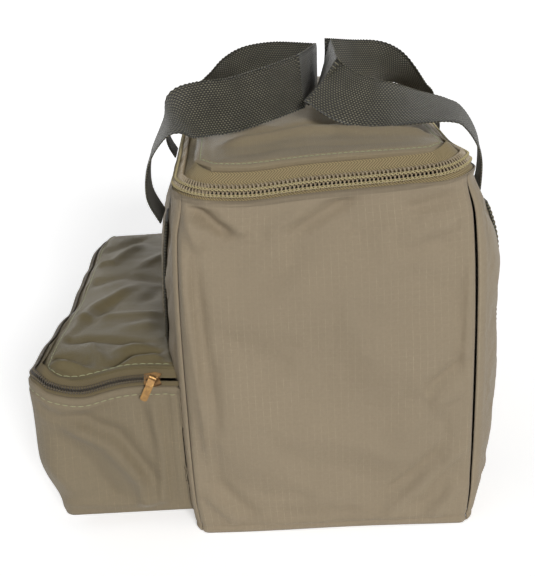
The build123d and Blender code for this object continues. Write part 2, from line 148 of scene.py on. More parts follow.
def rumple(x, y, size, seed=0.0):
    """Gentle random unevenness of about plus or minus 1."""
    return noise.noise(Vector((x / size, y / size, seed)))


def finish_piece(name, verts, faces, uvs, material):
    """Mesh object from points, faces and one UV point for each vertex."""
    mesh = bpy.data.meshes.new(name)
    mesh.from_pydata(verts, [], faces)
    if uvs is not None:
        layer = mesh.uv_layers.new(name="UVMap")
        for loop in mesh.loops:
            layer.data[loop.index].uv = uvs[loop.vertex_index]
    mesh.polygons.foreach_set("use_smooth", [True] * len(mesh.polygons))
    mesh.materials.append(material)
    piece = bpy.data.objects.new(name, mesh)
    bpy.context.scene.collection.objects.link(piece)
    return piece


def spread(low, high, step):
    """Even values from low to high, about a step apart."""
    count = max(int(ceil(abs(high - low) / step)), 1)
    return [low + (high - low) * index / count for index in range(count + 1)]


def edge_spread(low, high, edge, fine, coarse):
    """Values from low to high, closer together near both ends."""
    return (spread(low, low + edge, fine) + spread(low + edge, high - edge, coarse)[1:]
            + spread(high - edge, high, fine)[1:])


def sheet(name, place, us, vs, material, thick=cloth, flip=False, uv=None):
    """Sheet of cloth through place(u, v), thickened on its inner side."""
    verts = [place(u, v) for v in vs for u in us]
    uvs = [uv(u, v) if uv else (u, v) for v in vs for u in us]
    wide = len(us)
    faces = []
    for row in range(len(vs) - 1):
        for col in range(wide - 1):
            corner = row * wide + col
            quad = (corner, corner + 1, corner + 1 + wide, corner + wide)
            faces.append(quad[::-1] if flip else quad)
    piece = finish_piece(name, verts, faces, uvs, material)
    if thick:
        thicken(piece, thick)
    return piece


def thicken(piece, thick):
    """Gives a sheet its own thickness on its inner side."""
    solid = piece.modifiers.new("thickness", "SOLIDIFY")
    solid.thickness = thick
    solid.offset = -1.0


def declare_sheet(piece, width, **facts):
    """Works out how long a flat cut of this width would be from the cloth's area; the result is not
    kept.
    """
    area = sum(face.area for face in piece.data.polygons)
    area / width


class Settling:
    """Cloth simulation of several held sheets at once, kept in their meshes."""

    frames = 14

    def __init__(self):
        self.jobs = []

    def add(self, piece, held, slack, pressure, most):
        """Lets a sheet settle; held gives how firmly each vertex stays, from 0 to 1."""
        group = piece.vertex_groups.new(name="held")
        for vertex in piece.data.vertices:
            weight = held(vertex.index)
            if weight > 0:
                group.add([vertex.index], weight, "REPLACE")
        cloth_sim = piece.modifiers.new("settling", "CLOTH")
        settings = cloth_sim.settings
        settings.quality = 6
        settings.mass = 0.25
        settings.tension_stiffness = settings.compression_stiffness = 30
        settings.shear_stiffness = 12
        settings.bending_stiffness = 0.25
        settings.vertex_group_mass = "held"
        settings.shrink_min = -slack
        settings.use_pressure = True
        settings.uniform_pressure_force = pressure
        settings.effector_weights.gravity = 0
        self.jobs.append((piece, cloth_sim, most))

    def run(self):
        """Steps the frames, then writes the settled places back into the meshes."""
        for frame_number in range(1, self.frames + 1):
            bpy.context.scene.frame_set(frame_number)
        graph = bpy.context.evaluated_depsgraph_get()
        for piece, cloth_sim, most in self.jobs:
            settled = piece.evaluated_get(graph).to_mesh()
            places = [vertex.co.copy() for vertex in settled.vertices]
            for vertex, place in zip(piece.data.vertices, places):
                step = place - vertex.co
                if step.length > most:
                    step = step.normalized() * most
                vertex.co = vertex.co + step
            piece.modifiers.remove(cloth_sim)
            piece.vertex_groups.clear()
        bpy.context.scene.frame_set(1)
        self.jobs = []


settling = Settling()


def tube(points, radius, sides, verts, faces):
    """Adds a round tube through points to the lists of vertices and faces."""
    start = len(verts)
    side = None
    last = len(points) - 1
    for index, point in enumerate(points):
        run = (points[min(index + 1, last)] - points[max(index - 1, 0)]).normalized()
        if side is None:
            side = run.orthogonal().normalized()
        side = (side - run * side.dot(run)).normalized()
        other = run.cross(side)
        for step in range(sides):
            turn = 2 * pi * step / sides
            verts.append(point + (side * cos(turn) + other * sin(turn)) * radius)
    for row in range(last):
        for step in range(sides):
            a = start + row * sides + step
            b = start + row * sides + (step + 1) % sides
            faces.append((a, b, b + sides, a + sides))
    faces.append(tuple(start + step for step in reversed(range(sides))))
    faces.append(tuple(start + last * sides + step for step in range(sides)))


def stitch_line(name, line, material, length=2.6 * mm, gap=1.1 * mm, radius=0.32 * mm,
                slot_name="zip_tape", seed=0):
    """Row of thread stitches that lie along a line of (point, outward normal) pairs."""
    verts, faces = [], []
    spots = [pair[0] for pair in line]
    rises = [pair[1] for pair in line]
    travelled = [0.0]
    for one, two in zip(spots, spots[1:]):
        travelled.append(travelled[-1] + (two - one).length)

    def at(distance):
        index = 0
        while index < len(travelled) - 2 and travelled[index + 1] < distance:
            index += 1
        span = max(travelled[index + 1] - travelled[index], 1e-9)
        share = min((distance - travelled[index]) / span, 1.0)
        return (spots[index].lerp(spots[index + 1], share),
                rises[index].lerp(rises[index + 1], share).normalized())

    distance = gap
    count = 0
    while distance + length < travelled[-1]:
        count += 1
        wobble = rumple(count * 1.7, seed, 1.0) * 0.25
        points = []
        for share in (0.0, 0.2, 0.5, 0.8, 1.0):
            spot, rise = at(distance + share * length)
            lift = radius * (1.6 * sin(pi * share) - 0.7)
            points.append(spot + rise * lift + rise.cross(up) * wobble * radius * (share - 0.5))
        tube(points, radius, 6, verts, faces)
        distance += length + gap
    return finish_piece(name, verts, faces, None, material)


# ---------------------------------------------------------------- materials
class Value:
    """A node's output, which can be used in sums and products."""

    def __init__(self, nodes, socket):
        self.nodes = nodes
        self.socket = socket

    def __add__(self, other):
        return self.nodes.math("ADD", self, other)

    def __sub__(self, other):
        return self.nodes.math("SUBTRACT", self, other)

    def __rsub__(self, other):
        return self.nodes.math("SUBTRACT", other, self)

    def __mul__(self, other):
        return self.nodes.math("MULTIPLY", self, other)

    def __truediv__(self, other):
        return self.nodes.math("DIVIDE", self, other)

    def times_plus(self, factor, more):
        return self.nodes.math("MULTIPLY_ADD", self, factor, more)


class Nodes:
    """Short way to write a material's node tree."""

    def __init__(self, name):
        self.material = bpy.data.materials.new(name)
        self.material.use_nodes = True
        self.tree = self.material.node_tree
        self.shader = self.tree.nodes["Principled BSDF"]

    def add(self, kind, **inputs):
        node = self.tree.nodes.new(kind)
        for key, value in inputs.items():
            self.put(node.inputs[int(key[1:])] if key[0] == "i" and key[1:].isdigit()
                     else node.inputs[key.replace("_", " ")], value)
        return node

    def put(self, socket, value):
        if isinstance(value, Value):
            self.tree.links.new(value.socket, socket)
        else:
            socket.default_value = value

    def math(self, operation, one, two=0.0, three=0.0):
        node = self.add("ShaderNodeMath", i0=one, i1=two, i2=three)
        node.operation = operation
        return Value(self, node.outputs[0])

    def distance(self, value, middle):
        return self.math("ABSOLUTE", value - middle)

    def wave(self, value, length):
        return self.math("SINE", value * (2 * pi / length))

    def mix(self, share, one, two):
        node = self.tree.nodes.new("ShaderNodeMix")
        node.data_type = "RGBA"
        self.put(node.inputs["Factor"], share)
        self.put(node.inputs["A"], one)
        self.put(node.inputs["B"], two)
        return Value(self, node.outputs["Result"])

    def noise(self, where, scale, detail=3.0, roughness=0.55):
        node = self.add("ShaderNodeTexNoise", Vector=where, Scale=scale, Detail=detail,
                        Roughness=roughness)
        return Value(self, node.outputs["Fac"])

    def place(self, kind="UV"):
        return Value(self, self.add("ShaderNodeTexCoord").outputs[kind])

    def split(self, where):
        node = self.add("ShaderNodeSeparateXYZ", Vector=where)
        return Value(self, node.outputs[0]), Value(self, node.outputs[1])

    def bump(self, height, distance, strength=1.0, normal=None):
        node = self.add("ShaderNodeBump", Strength=strength, Distance=distance, Height=height)
        if normal is not None:
            self.put(node.inputs["Normal"], normal)
        return Value(self, node.outputs[0])

    def finish(self, colour, roughness, normal=None, **plain):
        self.put(self.shader.inputs["Base Color"], colour)
        self.put(self.shader.inputs["Roughness"], roughness)
        if normal is not None:
            self.put(self.shader.inputs["Normal"], normal)
        for key, value in plain.items():
            self.shader.inputs[key.replace("_", " ")].default_value = value
        return self.material


def srgb(red, green, blue):
    """Linear colour from the 0 to 255 values that it is seen as."""
    return tuple((value / 255) ** 2.2 for value in (red, green, blue)) + (1.0,)


def darker(colour, share):
    """The same colour at a share of its brightness."""
    return tuple(value * share for value in colour[:3]) + (1.0,)


def ripstop(name, colour, light, lines=0.5):
    """Coated ripstop: a fine plain weave with a faint grid of thicker threads."""
    n = Nodes(name)
    where = n.place()
    u, v = n.split(where)
    grid_pitch = 0.0049
    thread_pitch = 0.0008

    def grid_lines(value, width):
        off = n.distance(n.math("FRACT", value / grid_pitch), 0.5)
        return n.math("MAXIMUM", 0.0, 1.0 - off / width)

    patchy = n.math("MAXIMUM", n.noise(where, 24.0, 3.0).times_plus(3.2, -1.1), 0.12)
    broken = n.math("MAXIMUM", n.noise(where, 420.0, 2.0).times_plus(3.0, -0.9), 0.0)
    upright = grid_lines(u, 0.055) * broken
    level = grid_lines(v, 0.05) * (broken * 0.45)
    rib = n.math("MINIMUM", n.math("MAXIMUM", upright, level) * (patchy * lines), 1.0)
    weave = n.wave(u, thread_pitch) * n.wave(v, thread_pitch)
    grain = n.noise(where, 1100.0, 2.0)
    cloudy = n.noise(n.place("Object"), 9.0, 4.0)
    fibre = n.noise(where, 480.0, 3.0)
    tone = n.mix(cloudy.times_plus(1.2, -0.1), colour, darker(colour, 0.86))
    tone = n.mix(fibre * 0.6, tone, darker(colour, 0.62))
    tone = n.mix(weave.times_plus(0.16, 0.12), tone, darker(colour, 0.7))
    tone = n.mix(rib, tone, light)
    soft = n.bump(n.noise(n.place("Object"), 38.0, 4.0), 0.0022, 0.8)
    fine = n.bump(weave * 0.8 + (rib + grain * 0.9), 0.00012, 0.9, soft)
    return n.finish(tone, grain.times_plus(0.22, 0.46), fine, Sheen_Weight=0.1,
                    Sheen_Roughness=0.5, Specular_IOR_Level=0.40)


def herringbone(name, colour, dark, band=0.0108, rib=0.0015):
    """Woven zip tape: chevrons whose ribs slant to and fro across the tape."""
    n = Nodes(name)
    where = n.place()
    u, v = n.split(where)
    zigzag = n.distance(n.math("FRACT", (v + band * 0.31) / band), 0.5) * band
    twill = n.math("FRACT", (u + zigzag) / rib)
    ridge = n.distance(twill, 0.5) * 2.0
    pick = n.math("ABSOLUTE", n.math("SINE", v * (pi / 0.0007)))
    grain = n.noise(where, 900.0, 3.0)
    tone = n.mix(ridge, colour, dark)
    tone = n.mix(grain * 0.35, tone, darker(colour, 0.72))
    relief = pick * 0.25 + grain * 0.3 - ridge
    return n.finish(tone, 0.85, n.bump(relief, 0.0003, 0.9), Sheen_Weight=0.12,
                    Specular_IOR_Level=0.25)


def basket(name, colour, light, dark):
    """Webbing: staggered rows of raised threads, with painted glints on their tops and painted
    shade in the gaps between them.
    """
    n = Nodes(name)
    where = n.place()
    u, v = n.split(where)
    row = v / 0.00150
    shift = n.math("GREATER_THAN", n.math("FRACT", row * 0.5), 0.5) * 0.5
    across = n.math("SINE", n.math("FRACT", row) * pi)
    along = n.math("ABSOLUTE", n.math("SINE", (u / 0.0021 + shift) * pi))
    lump = across * along
    grain = n.noise(where, 1500.0, 2.0)
    glint_patches = n.noise(where, 60.0, 3.0)
    # Near-black painted shade in the gaps between the raised threads.
    tone = n.mix(n.math("MINIMUM", lump * 1.1, 1.0), dark, colour)
    # Painted glints on the tops of the raised threads, in patches.
    tone = n.mix(n.math("POWER", lump, 4.0) * glint_patches.times_plus(1.2, -0.1), tone, light)
    normal = n.bump(lump + grain * 0.15, 0.0006, 1.0)
    return n.finish(tone, grain.times_plus(0.2, 0.42), normal, Specular_IOR_Level=0.5,
                    Sheen_Weight=0.1)


def thread(name, colour):
    """Twisted sewing thread."""
    n = Nodes(name)
    twist = n.noise(n.place("Object"), 1800.0, 2.0)
    tone = n.mix(twist, colour, darker(colour, 0.6))
    return n.finish(tone, 0.6, n.bump(twist, 0.0002, 0.6), Sheen_Weight=0.2)


def nylon(name, colour, dark):
    """Smooth nylon monofilament of a zip's coil."""
    n = Nodes(name)
    speck = n.noise(n.place("Object"), 420.0, 3.0)
    return n.finish(n.mix(speck, colour, dark), speck.times_plus(0.2, 0.28), None,
                    Specular_IOR_Level=0.6, Coat_Weight=0.15, Coat_Roughness=0.3)


def antique_brass(name):
    """Brass with a brown patina that is worn bright on its edges."""
    n = Nodes(name)
    where = n.place("Object")
    patina = n.noise(where, 420.0, 5.0, 0.65)
    scratch = n.noise(where, 1700.0, 4.0)
    point = Value(n, n.add("ShaderNodeNewGeometry").outputs["Pointiness"])
    edge = n.math("MAXIMUM", point - 0.52, 0.0) * 1.2
    bare = n.math("MAXIMUM", patina.times_plus(1.5, -0.62), 0.0)
    share = n.math("MINIMUM", edge + bare, 1.0)
    tone = n.mix(share, srgb(112, 84, 58), srgb(190, 150, 88))
    normal = n.bump(patina + scratch * 0.4, 0.00012, 0.8)
    return n.finish(tone, scratch.times_plus(0.30, 0.26), normal, Metallic=0.8)


def quilt_cloth(name, colour):
    """Plain woven inner cloth with a slight shine."""
    n = Nodes(name)
    u, v = n.split(n.place())
    thread_pitch = 0.0016
    weave = n.wave(u, thread_pitch) * n.wave(v, thread_pitch)
    cloudy = n.noise(n.place("Object"), 14.0, 4.0)
    tone = n.mix(cloudy, colour, darker(colour, 0.78))
    normal = n.bump(weave + cloudy * 3.0, 0.0003, 0.6)
    return n.finish(tone, 0.55, normal, Sheen_Weight=0.1, Specular_IOR_Level=0.4)


khaki = ripstop("khaki_ripstop", srgb(162, 146, 121), srgb(194, 178, 150), 0.55)
# The lid, pocket wall and pocket top cloths are darker copies of the khaki: painted shade for
# surfaces that face up or turn away from the key light. The pocket top's copy is also more olive.
khaki_lid_painted_shade = ripstop("khaki_ripstop_lid_painted_shade", srgb(152, 137, 109), srgb(180, 166, 134), 0.45)
khaki_pocket_painted_shade = ripstop("khaki_ripstop_pocket_painted_shade", srgb(143, 129, 104), srgb(178, 162, 132), 0.45)
khaki_pocket_lid_painted_shade = ripstop("khaki_ripstop_pocket_lid_painted_shade", srgb(115, 103, 71), srgb(142, 129, 92), 0.4)
tape_cloth = herringbone("zip_tape", srgb(182, 164, 124), srgb(92, 78, 54), rib=0.002)
dark_tape = herringbone("pocket_zip_tape", srgb(140, 126, 96), srgb(96, 85, 62), 0.006, 0.0011)
# The webbing's pale colour is painted glints and its near-black colour is painted shade between the
# threads.
webbing = basket("olive_webbing", srgb(64, 61, 46), srgb(170, 164, 138), srgb(14, 13, 9))
coil_nylon = nylon("coil_nylon", srgb(182, 166, 138), srgb(128, 112, 86))
dark_nylon = nylon("dark_coil_nylon", srgb(84, 76, 64), srgb(48, 42, 34))
khaki_thread = thread("khaki_thread", srgb(192, 176, 128))
dark_khaki_thread = thread("dark_khaki_thread", srgb(128, 112, 80))
green_thread = thread("pale_green_thread", srgb(178, 180, 138))
brass = antique_brass("antique_brass")
inner_cloth = quilt_cloth("fireproof_inner_cloth", srgb(168, 168, 160))


# ---------------------------------------------------------------- main body shell
# Share of the height, draw-in, share of the bulge and corner radius at each level.
body_levels = (
    (0.00, 3.0, 0.25, 10.0), (0.12, 1.0, 0.70, 8.0), (0.42, 0.0, 1.00, 8.0),
    (0.70, 0.0, 0.90, 8.0), (0.90, 0.5, 0.45, 13.0), (1.00, 0.0, 0.00, 28.0),
)
half_width = rim_x
end_room = 2.0 * mm
half_length = rim_y + end_room
side_bulge = side_high.x - half_width
end_bulge = -end_low.y - half_length


def level_at(share):
    """Draw-in, share of the bulge and corner radius at a share of the height."""
    share = min(max(share, 0.0), 1.0)
    index = 0
    while index < len(body_levels) - 2 and body_levels[index + 1][0] < share:
        index += 1
    low, high = body_levels[index], body_levels[index + 1]
    part = (share - low[0]) / (high[0] - low[0])

    def slope(row, col):
        if row in (0, len(body_levels) - 1):
            return 0.0
        one, two = body_levels[row - 1], body_levels[row + 1]
        return (two[col] - one[col]) / (two[0] - one[0])

    values = []
    for col in (1, 2, 3):
        span = high[0] - low[0]
        s0, s1 = slope(index, col) * span, slope(index + 1, col) * span
        p2, p3 = part * part, part ** 3
        values.append((2 * p3 - 3 * p2 + 1) * low[col] + (p3 - 2 * p2 + part) * s0
                      + (3 * p2 - 2 * p3) * high[col] + (p3 - p2) * s1)
    return values


def front_share(y):
    """1 along the front end and 0 further back than a third of the length."""
    return smooth(-0.40, -0.97, y / rim_y)


def rim_wave(x, y):
    """Rise of the zip's rim: it sags at the front left and is drawn up at the front right."""
    across = x / rim_x
    lift = -0.6 + 3.6 * across + 5.5 * across ** 4 - 2.2 * mound(across + 0.5, 0.28)
    return lift * front_share(y) * mm


def wall_point(side, t, share, out=0.0):
    """Point of a wall: t runs from seam to seam, share from floor to rim, out is outward."""
    draw_in, bulge, corner = level_at(share)
    x = half_width - draw_in * mm
    y = half_length - end_room * (1 - bulge) - draw_in * mm
    corner = corner * mm
    half, depth, bow = (x, y, end_bulge) if side in ("front", "back") else (y, x, side_bulge)
    bow, power = {"left": (0.66 * bow, 3), "right": (1.12 * bow, 6)}.get(side, (bow, 3))
    straight = half - corner
    s = t * (straight + corner * pi / 4)
    sign = 1 if s >= 0 else -1
    turn = max(abs(s) - straight, 0.0) / corner
    along = s if turn == 0 else sign * (straight + corner * sin(turn))
    shape = 1 - min(abs(along / half), 1.0) ** power
    away = depth - corner * (1 - cos(turn)) + bow * bulge * shape
    if side == "right":
        away += 6.0 * mm * mound(share - 0.80, 0.13) * shape
    along += sign * sin(turn) * out
    away += cos(turn) * out
    spot = {"front": (along, -away), "right": (away, along),
            "back": (-along, away), "left": (-away, -along)}[side]
    foot = (5.0 + 2.5 * spot[0] / half_width) * mm * (1 - smooth(0.0, 0.16, share))
    spot = (spot[0], spot[1] - foot * smooth(-0.80, -0.97, spot[1] / half_length))
    rise = rim_wave(*spot) * smooth(0.70, 1.0, share)
    if side in ("front", "back"):
        lift = 1.2 * mm * (0.5 + 0.5 * sin(spot[0] / mm / 30.0 + 0.9)) * (1 - abs(t) ** 6)
        rise += lift * (1 - smooth(0.0, 0.05, share))
    return Vector((spot[0], spot[1], share * rim_z + rise))


def side_point(side, y, z, out):
    """Point of a long side's cloth; side is 1 on the right and -1 on the left."""
    wall = "right" if side > 0 else "left"
    return wall_point(wall, side * y / half_length, z / rim_z, out)


def wall_half(side):
    """Half of a wall's width, seam to seam."""
    return half_width if side in ("front", "back") else half_length


def seam_pull(t, side, share):
    """How far the cloth draws in beside its upright seams and rounds off at the floor."""
    gap = (1 - abs(t)) * wall_half(side)
    pull = -0.6 * mound(gap, 1.1 * mm) + 0.25 * mound(gap - 4.5 * mm, 3.0 * mm)
    height = share * rim_z / mm
    foot = -1.2 * (1 - smooth(0.0, 3.0, height)) ** 2 - 1.1 * mound(height - 5.5, 1.3)
    return (pull * (1 - 0.5 * smooth(0.9, 1.0, share)) + foot) * mm


# Folds of the front and of the sides: start, end, width and height in mm, in (x, z) or (y, z).
front_folds = (
    ((-92, 243), (-64, 226), 4.5, -5.0), ((-94, 238), (-84, 214), 4.5, 1.8),
    ((-76, 236), (-52, 228), 4.5, 2.0), ((20, 244), (-22, 224), 5.5, -2.4),
    ((-16, 238), (-40, 226), 6.0, 1.4), ((92, 236), (52, 232), 5.0, -2.0),
    ((88, 222), (48, 214), 7.0, 1.2), ((-96, 205), (-88, 60), 3.4, 1.7),
    ((-89, 214), (-80, 90), 4.0, -1.5), ((96, 190), (92, 120), 3.0, 1.3),
    ((94, 60), (40, 12), 5.0, 1.6), ((78, 60), (34, 22), 5.0, -1.4),
    ((94, 128), (66, 108), 5.0, -1.8), ((92, 108), (70, 96), 6.0, 1.3),
    ((-70, 165), (60, 205), 11.0, 0.9), ((-60, 130), (80, 92), 12.0, -1.0),
    ((-92, 34), (-72, 10), 4.5, 2.2), ((-84, 44), (-60, 14), 5.5, -1.6),
    ((92, 30), (72, 8), 5.0, 1.8), ((84, 34), (62, 14), 5.0, -1.2), ((-60, 8), (70, 9), 4.0, 0.9),
)
side_folds = (
    ((-164, 226), (-116, 205), 7.0, -2.6), ((160, 222), (116, 206), 7.0, -2.4),
    ((-150, 190), (-60, 160), 10.0, 1.6), ((-166, 150), (-128, 118), 6.0, -1.8),
    ((-158, 214), (-150, 60), 6.0, 1.4), ((-146, 200), (-140, 80), 6.5, -1.5),
    ((70, 150), (150, 190), 10.0, 1.5), ((-60, 60), (40, 36), 9.0, -1.6),
    ((-60, 224), (30, 206), 9.0, -1.8), ((-40, 120), (70, 96), 12.0, 1.4),
    ((-150, 34), (-120, 12), 7.0, 1.8), ((150, 30), (118, 12), 7.0, 1.8),
)


def front_wrinkles(x, z):
    """Dents below the zip's corners, slanting creases and slack along the seams."""
    x, z = x / mm, z / mm
    out = 1.5 * rumple(x, z, 70, 1.0) + 0.6 * rumple(x, z, 26, 2.0)
    return 1.9 * with_folds(out, x, z, front_folds) * mm


def side_wrinkles(y, z, seed):
    """Broad soft folds of the long sides."""
    y, z = y / mm, z / mm
    out = 2.2 * rumple(y, z, 90, seed) + 1.0 * rumple(y, z, 38, seed + 3)
    return with_folds(out, y, z, side_folds) * mm


def wall_cloth(side):
    """Place function of one wall's outer cloth with its wrinkles, (t, share) to a point."""
    mirrored = -1 if side in ("right", "back") else 1

    def place(t, share):
        height = min(share, 1.0) * rim_z
        across = t * wall_half(side)
        calm = smooth(0.0, 0.06, 1 - abs(t)) * smooth(0.0, 0.03, share) * (
            1 - smooth(0.985, 1.0, share))
        if side in ("front", "back"):
            wrinkle = front_wrinkles(across * mirrored, height)
        else:
            wrinkle = side_wrinkles(across * mirrored, height, 5.0 if side == "left" else 9.0)
            wrinkle *= 1 - 0.75 * mound(abs(across) - 98 * mm, 16 * mm)
        out = seam_pull(t, side, share) + wrinkle * calm
        if share <= 1.0:
            return wall_point(side, t, share, out)
        lap = share - 1.0
        spot = wall_point(side, t, 1.0, out)
        wanted = lap_width(spot.x, spot.y) * lap
        off = 1.3 * mm * smooth(0.0, 0.35, lap) + 0.3 * mm * rumple(spot.x / mm, spot.y / mm, 9)
        edge = wall_point(side, t, 1.0, -(seam_gap + (wanted - off) * tilt))
        hem = 0.9 * mm * smooth(0.86, 1.0, lap)
        return edge + up * ((wanted + off) * tilt + seam_gap - hem)

    return place


def lap_width(x, y):
    """How far the wall's cloth laps over the zip's tape."""
    return (3.2 + (1.2 - 2.6 * smooth(0.45, 0.9, x / rim_x)) * front_share(y)) * mm


def wall_rows():
    """Rows of a wall: shares of its height, then 1 to 2 across the lap over the tape."""
    rows = spread(0.0, 0.05, 0.005) + spread(0.05, 0.9, 0.014)[1:] + spread(0.9, 1.0, 0.007)[1:]
    return rows + [1.12, 1.25, 1.40, 1.60, 1.80, 1.92, 2.0]


liner_depth = 10.5 * mm
wall_nodes = {"front": ("front_panel", "front_foam"), "back": ("back_panel", "back_foam"),
              "left": ("left_panel", "left_foam"), "right": ("right_panel", "right_foam")}
walls = {}
for side, nodes in wall_nodes.items():
    half = wall_half(side)
    edge_step = 1.2 * mm / half
    ts = edge_spread(-1.0, 1.0, 10 * edge_step, edge_step, 3.4 * mm / half)
    rows = wall_rows()
    wall = sheet(side + "_wall_cloth", wall_cloth(side), ts, rows, khaki, thick=0,
                 uv=lambda t, share, half=half: (t * half, share * rim_z))
    wide = len(ts)

    def wall_held(index, ts=ts, rows=rows, wide=wide, half=half, side=side):
        """Seams, floor, rim and sewn webbing hold the cloth; the middle is free."""
        t, share = ts[index % wide], rows[index // wide]
        free = smooth(3 * mm, 16 * mm, (1 - abs(t)) * half)
        free *= smooth(0.01, 0.07, share) * (1 - smooth(0.90, 0.975, share))
        if side in ("left", "right"):
            free *= smooth(19 * mm, 26 * mm, abs(abs(t) * half - strip_middle))
        return 1 - free

    settling.add(wall, wall_held, 0.012, 0.5 if side in ("left", "right") else 0.1, 4 * mm)
    walls[side] = wall

settling.run()
for side, wall in walls.items():
    thicken(wall, cloth)
    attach(wall, "bag")
    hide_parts(*wall_nodes[side])


def base_place(x, y):
    """Underside: flat where it rests, turned up a little at its edge."""
    draw_in, bulge, corner = level_at(0.0)
    half_x = half_width - draw_in * mm - 1.4 * mm
    half_y = half_length - end_room * (1 - bulge) - draw_in * mm - 1.4 * mm
    half_y += (4.6 + 2.4 * x) * mm * smooth(0.0, -1.0, y)
    bow_x = side_bulge * bulge * (1 - abs(y) ** 3)
    bow_y = end_bulge * bulge * (1 - abs(x) ** 3)
    rise = 0.9 * mm * max(smooth(0.985, 1.0, abs(x)), smooth(0.99, 1.0, abs(y)))
    corner_cut = smooth(0.88, 1.0, abs(x)) * smooth(0.93, 1.0, abs(y))
    x, y = x * (1 - 0.045 * corner_cut), y * (1 - 0.026 * corner_cut)
    return Vector((x * (half_x + bow_x), y * (half_y + bow_y), 0.05 * mm + rise))


base = sheet("base_cloth", base_place, spread(-1, 1, 0.03), spread(-1, 1, 0.02), khaki,
             flip=True, thick=thin_cloth,
             uv=lambda x, y: (x * half_width, y * half_length))
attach(base, "bag")
declare_sheet(base, 2 * half_width)
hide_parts("base_panel", "base_board")

lining_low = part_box("fire_liner")[0]


def liner_place(side):
    """Inner cloth of one wall, a little slack."""
    def place(t, share):
        across = t * wall_half(side)
        slack = 1.2 * mm * rumple(across / mm, share * 245, 45, 20.0 + len(side))
        keep = smooth(0.0, 0.06, 1 - abs(t))
        level = lining_low.z / rim_z + share * (1 - lining_low.z / rim_z) * 0.995
        return wall_point(side, t, level, -liner_depth - slack * keep)
    return place


for side in wall_nodes:
    inner = sheet("inner_cloth_" + side, liner_place(side), spread(-1, 1, 0.03),
                  spread(0, 1, 0.03), inner_cloth, thick=thin_cloth,
                  uv=lambda t, share, side=side: (t * wall_half(side), share * rim_z))
    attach(inner, "bag")
    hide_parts("fire_liner")
    declare_sheet(inner, 2 * wall_half(side))


def floor_place(x, y):
    """Inner cloth that lies on the base."""
    rise = lining_low.z + 0.6 * mm + 0.5 * mm * rumple(x * 98, y * 170, 40)
    return base_place(x * 0.955, y * 0.975) + up * rise


floor_inside = sheet("inner_cloth_floor", floor_place, spread(-1, 1, 0.04), spread(-1, 1, 0.03),
                     inner_cloth, thick=thin_cloth,
                     uv=lambda x, y: (x * half_width, y * half_length))
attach(floor_inside, "bag")
declare_sheet(floor_inside, 2 * half_width)


# ---------------------------------------------------------------- rim paths and zips
class Rim:
    """Rim that runs anticlockwise through corners rounded to one radius."""

    def __init__(self, corners, radius, wave, bow=None):
        self.wave = wave
        self.bow = bow
        self.parts = []
        points = [Vector((x, y, 0)) for x, y in corners]
        start = points[0]
        for one, corner, two in zip(points, points[1:], points[2:]):
            before = (corner - one).normalized()
            after = (two - corner).normalized()
            self.parts.append(("line", start, corner - before * radius, before))
            self.parts.append(("arc", corner - before * radius + after * radius, radius, before))
            start = corner + after * radius
        self.parts.append(("line", start, points[-1], (points[-1] - start).normalized()))
        self.lengths = [(p[2] - p[1]).length if p[0] == "line" else p[2] * pi / 2
                        for p in self.parts]
        self.length = sum(self.lengths)

    def at(self, distance):
        """Point of the rim, its direction and the way inward."""
        distance = min(max(distance, 0.0), self.length)
        for part, length in zip(self.parts, self.lengths):
            if distance <= length or part is self.parts[-1]:
                break
            distance -= length
        if part[0] == "line":
            spot, run = part[1] + part[3] * distance, part[3]
            inward = up.cross(run)
        else:
            centre, radius, before = part[1:]
            turn = distance / radius
            inward_start = up.cross(before)
            run = before * cos(turn) + inward_start * sin(turn)
            inward = inward_start * cos(turn) - before * sin(turn)
            spot = centre - inward * radius
        if self.bow:
            spot = spot + self.bow(spot.x, spot.y)
        return spot, run, inward


def slope_width(z):
    """Width of a zip's slope."""
    return z["below"] + z["chain"] + z["above"]


def slope_point(rim, base_z, distance, along, off=0.0):
    """Point on a zip's 45 degree slope: along runs up it and off stands out from it."""
    spot, run, inward = rim.at(distance)
    place = spot + inward * (seam_gap + (along - off) * tilt)
    rise = rim.wave(spot.x, spot.y)
    return Vector((place.x, place.y, base_z + seam_gap + (along + off) * tilt + rise))


def zip_tape(name, rim, base_z, z, span, edges, material):
    """Woven tape between two distances up the slope."""
    def place(distance, along):
        waver = 0.25 * mm * rumple(distance / mm, along / mm, 14, 31.0)
        return slope_point(rim, base_z, distance, along, z["tape"] / 2 + waver)
    return sheet(name, place, spread(span[0], span[1], 2.2 * mm),
                 spread(edges[0], edges[1], 1.1 * mm), material,
                 thick=z["tape"], uv=lambda d, a: (d, a))


def coil_row(name, rim, base_z, z, span, upper, material):
    """One row of coil: a flattened helix whose heads reach just past the chain's middle."""
    sign = 1 if upper else -1
    row = z["chain"] / 2 + z["wire"] * 1.3
    middle = z["below"] + z["chain"] / 2 + sign * (z["chain"] / 2 - row / 2)
    half_row = row / 2 - z["wire"]
    half_rise = z["coil"] / 2 - z["wire"]
    base_off = z["tape"] / 2 + z["coil"] / 2
    turns = int((span[1] - span[0]) / z["pitch"])
    steps = 14
    points = []
    for index in range(turns * steps + 1):
        turn = 2 * pi * index / steps
        shift = 0.5 * z["pitch"] if upper else 0.0
        lean = 0.22 * z["pitch"] * sin(turn)
        distance = span[0] + z["pitch"] * index / steps + shift + lean
        across = cos(turn)
        squared = (1 if across > 0 else -1) * abs(across) ** 0.7
        head = 0.25 * z["wire"] * max(-across * sign, 0.0)
        points.append(slope_point(rim, base_z, distance, middle + half_row * squared,
                                  base_off + (half_rise + head) * sin(turn)))
    verts, faces = [], []
    tube(points, z["wire"], 6, verts, faces)
    return finish_piece(name, verts, faces, None, material)


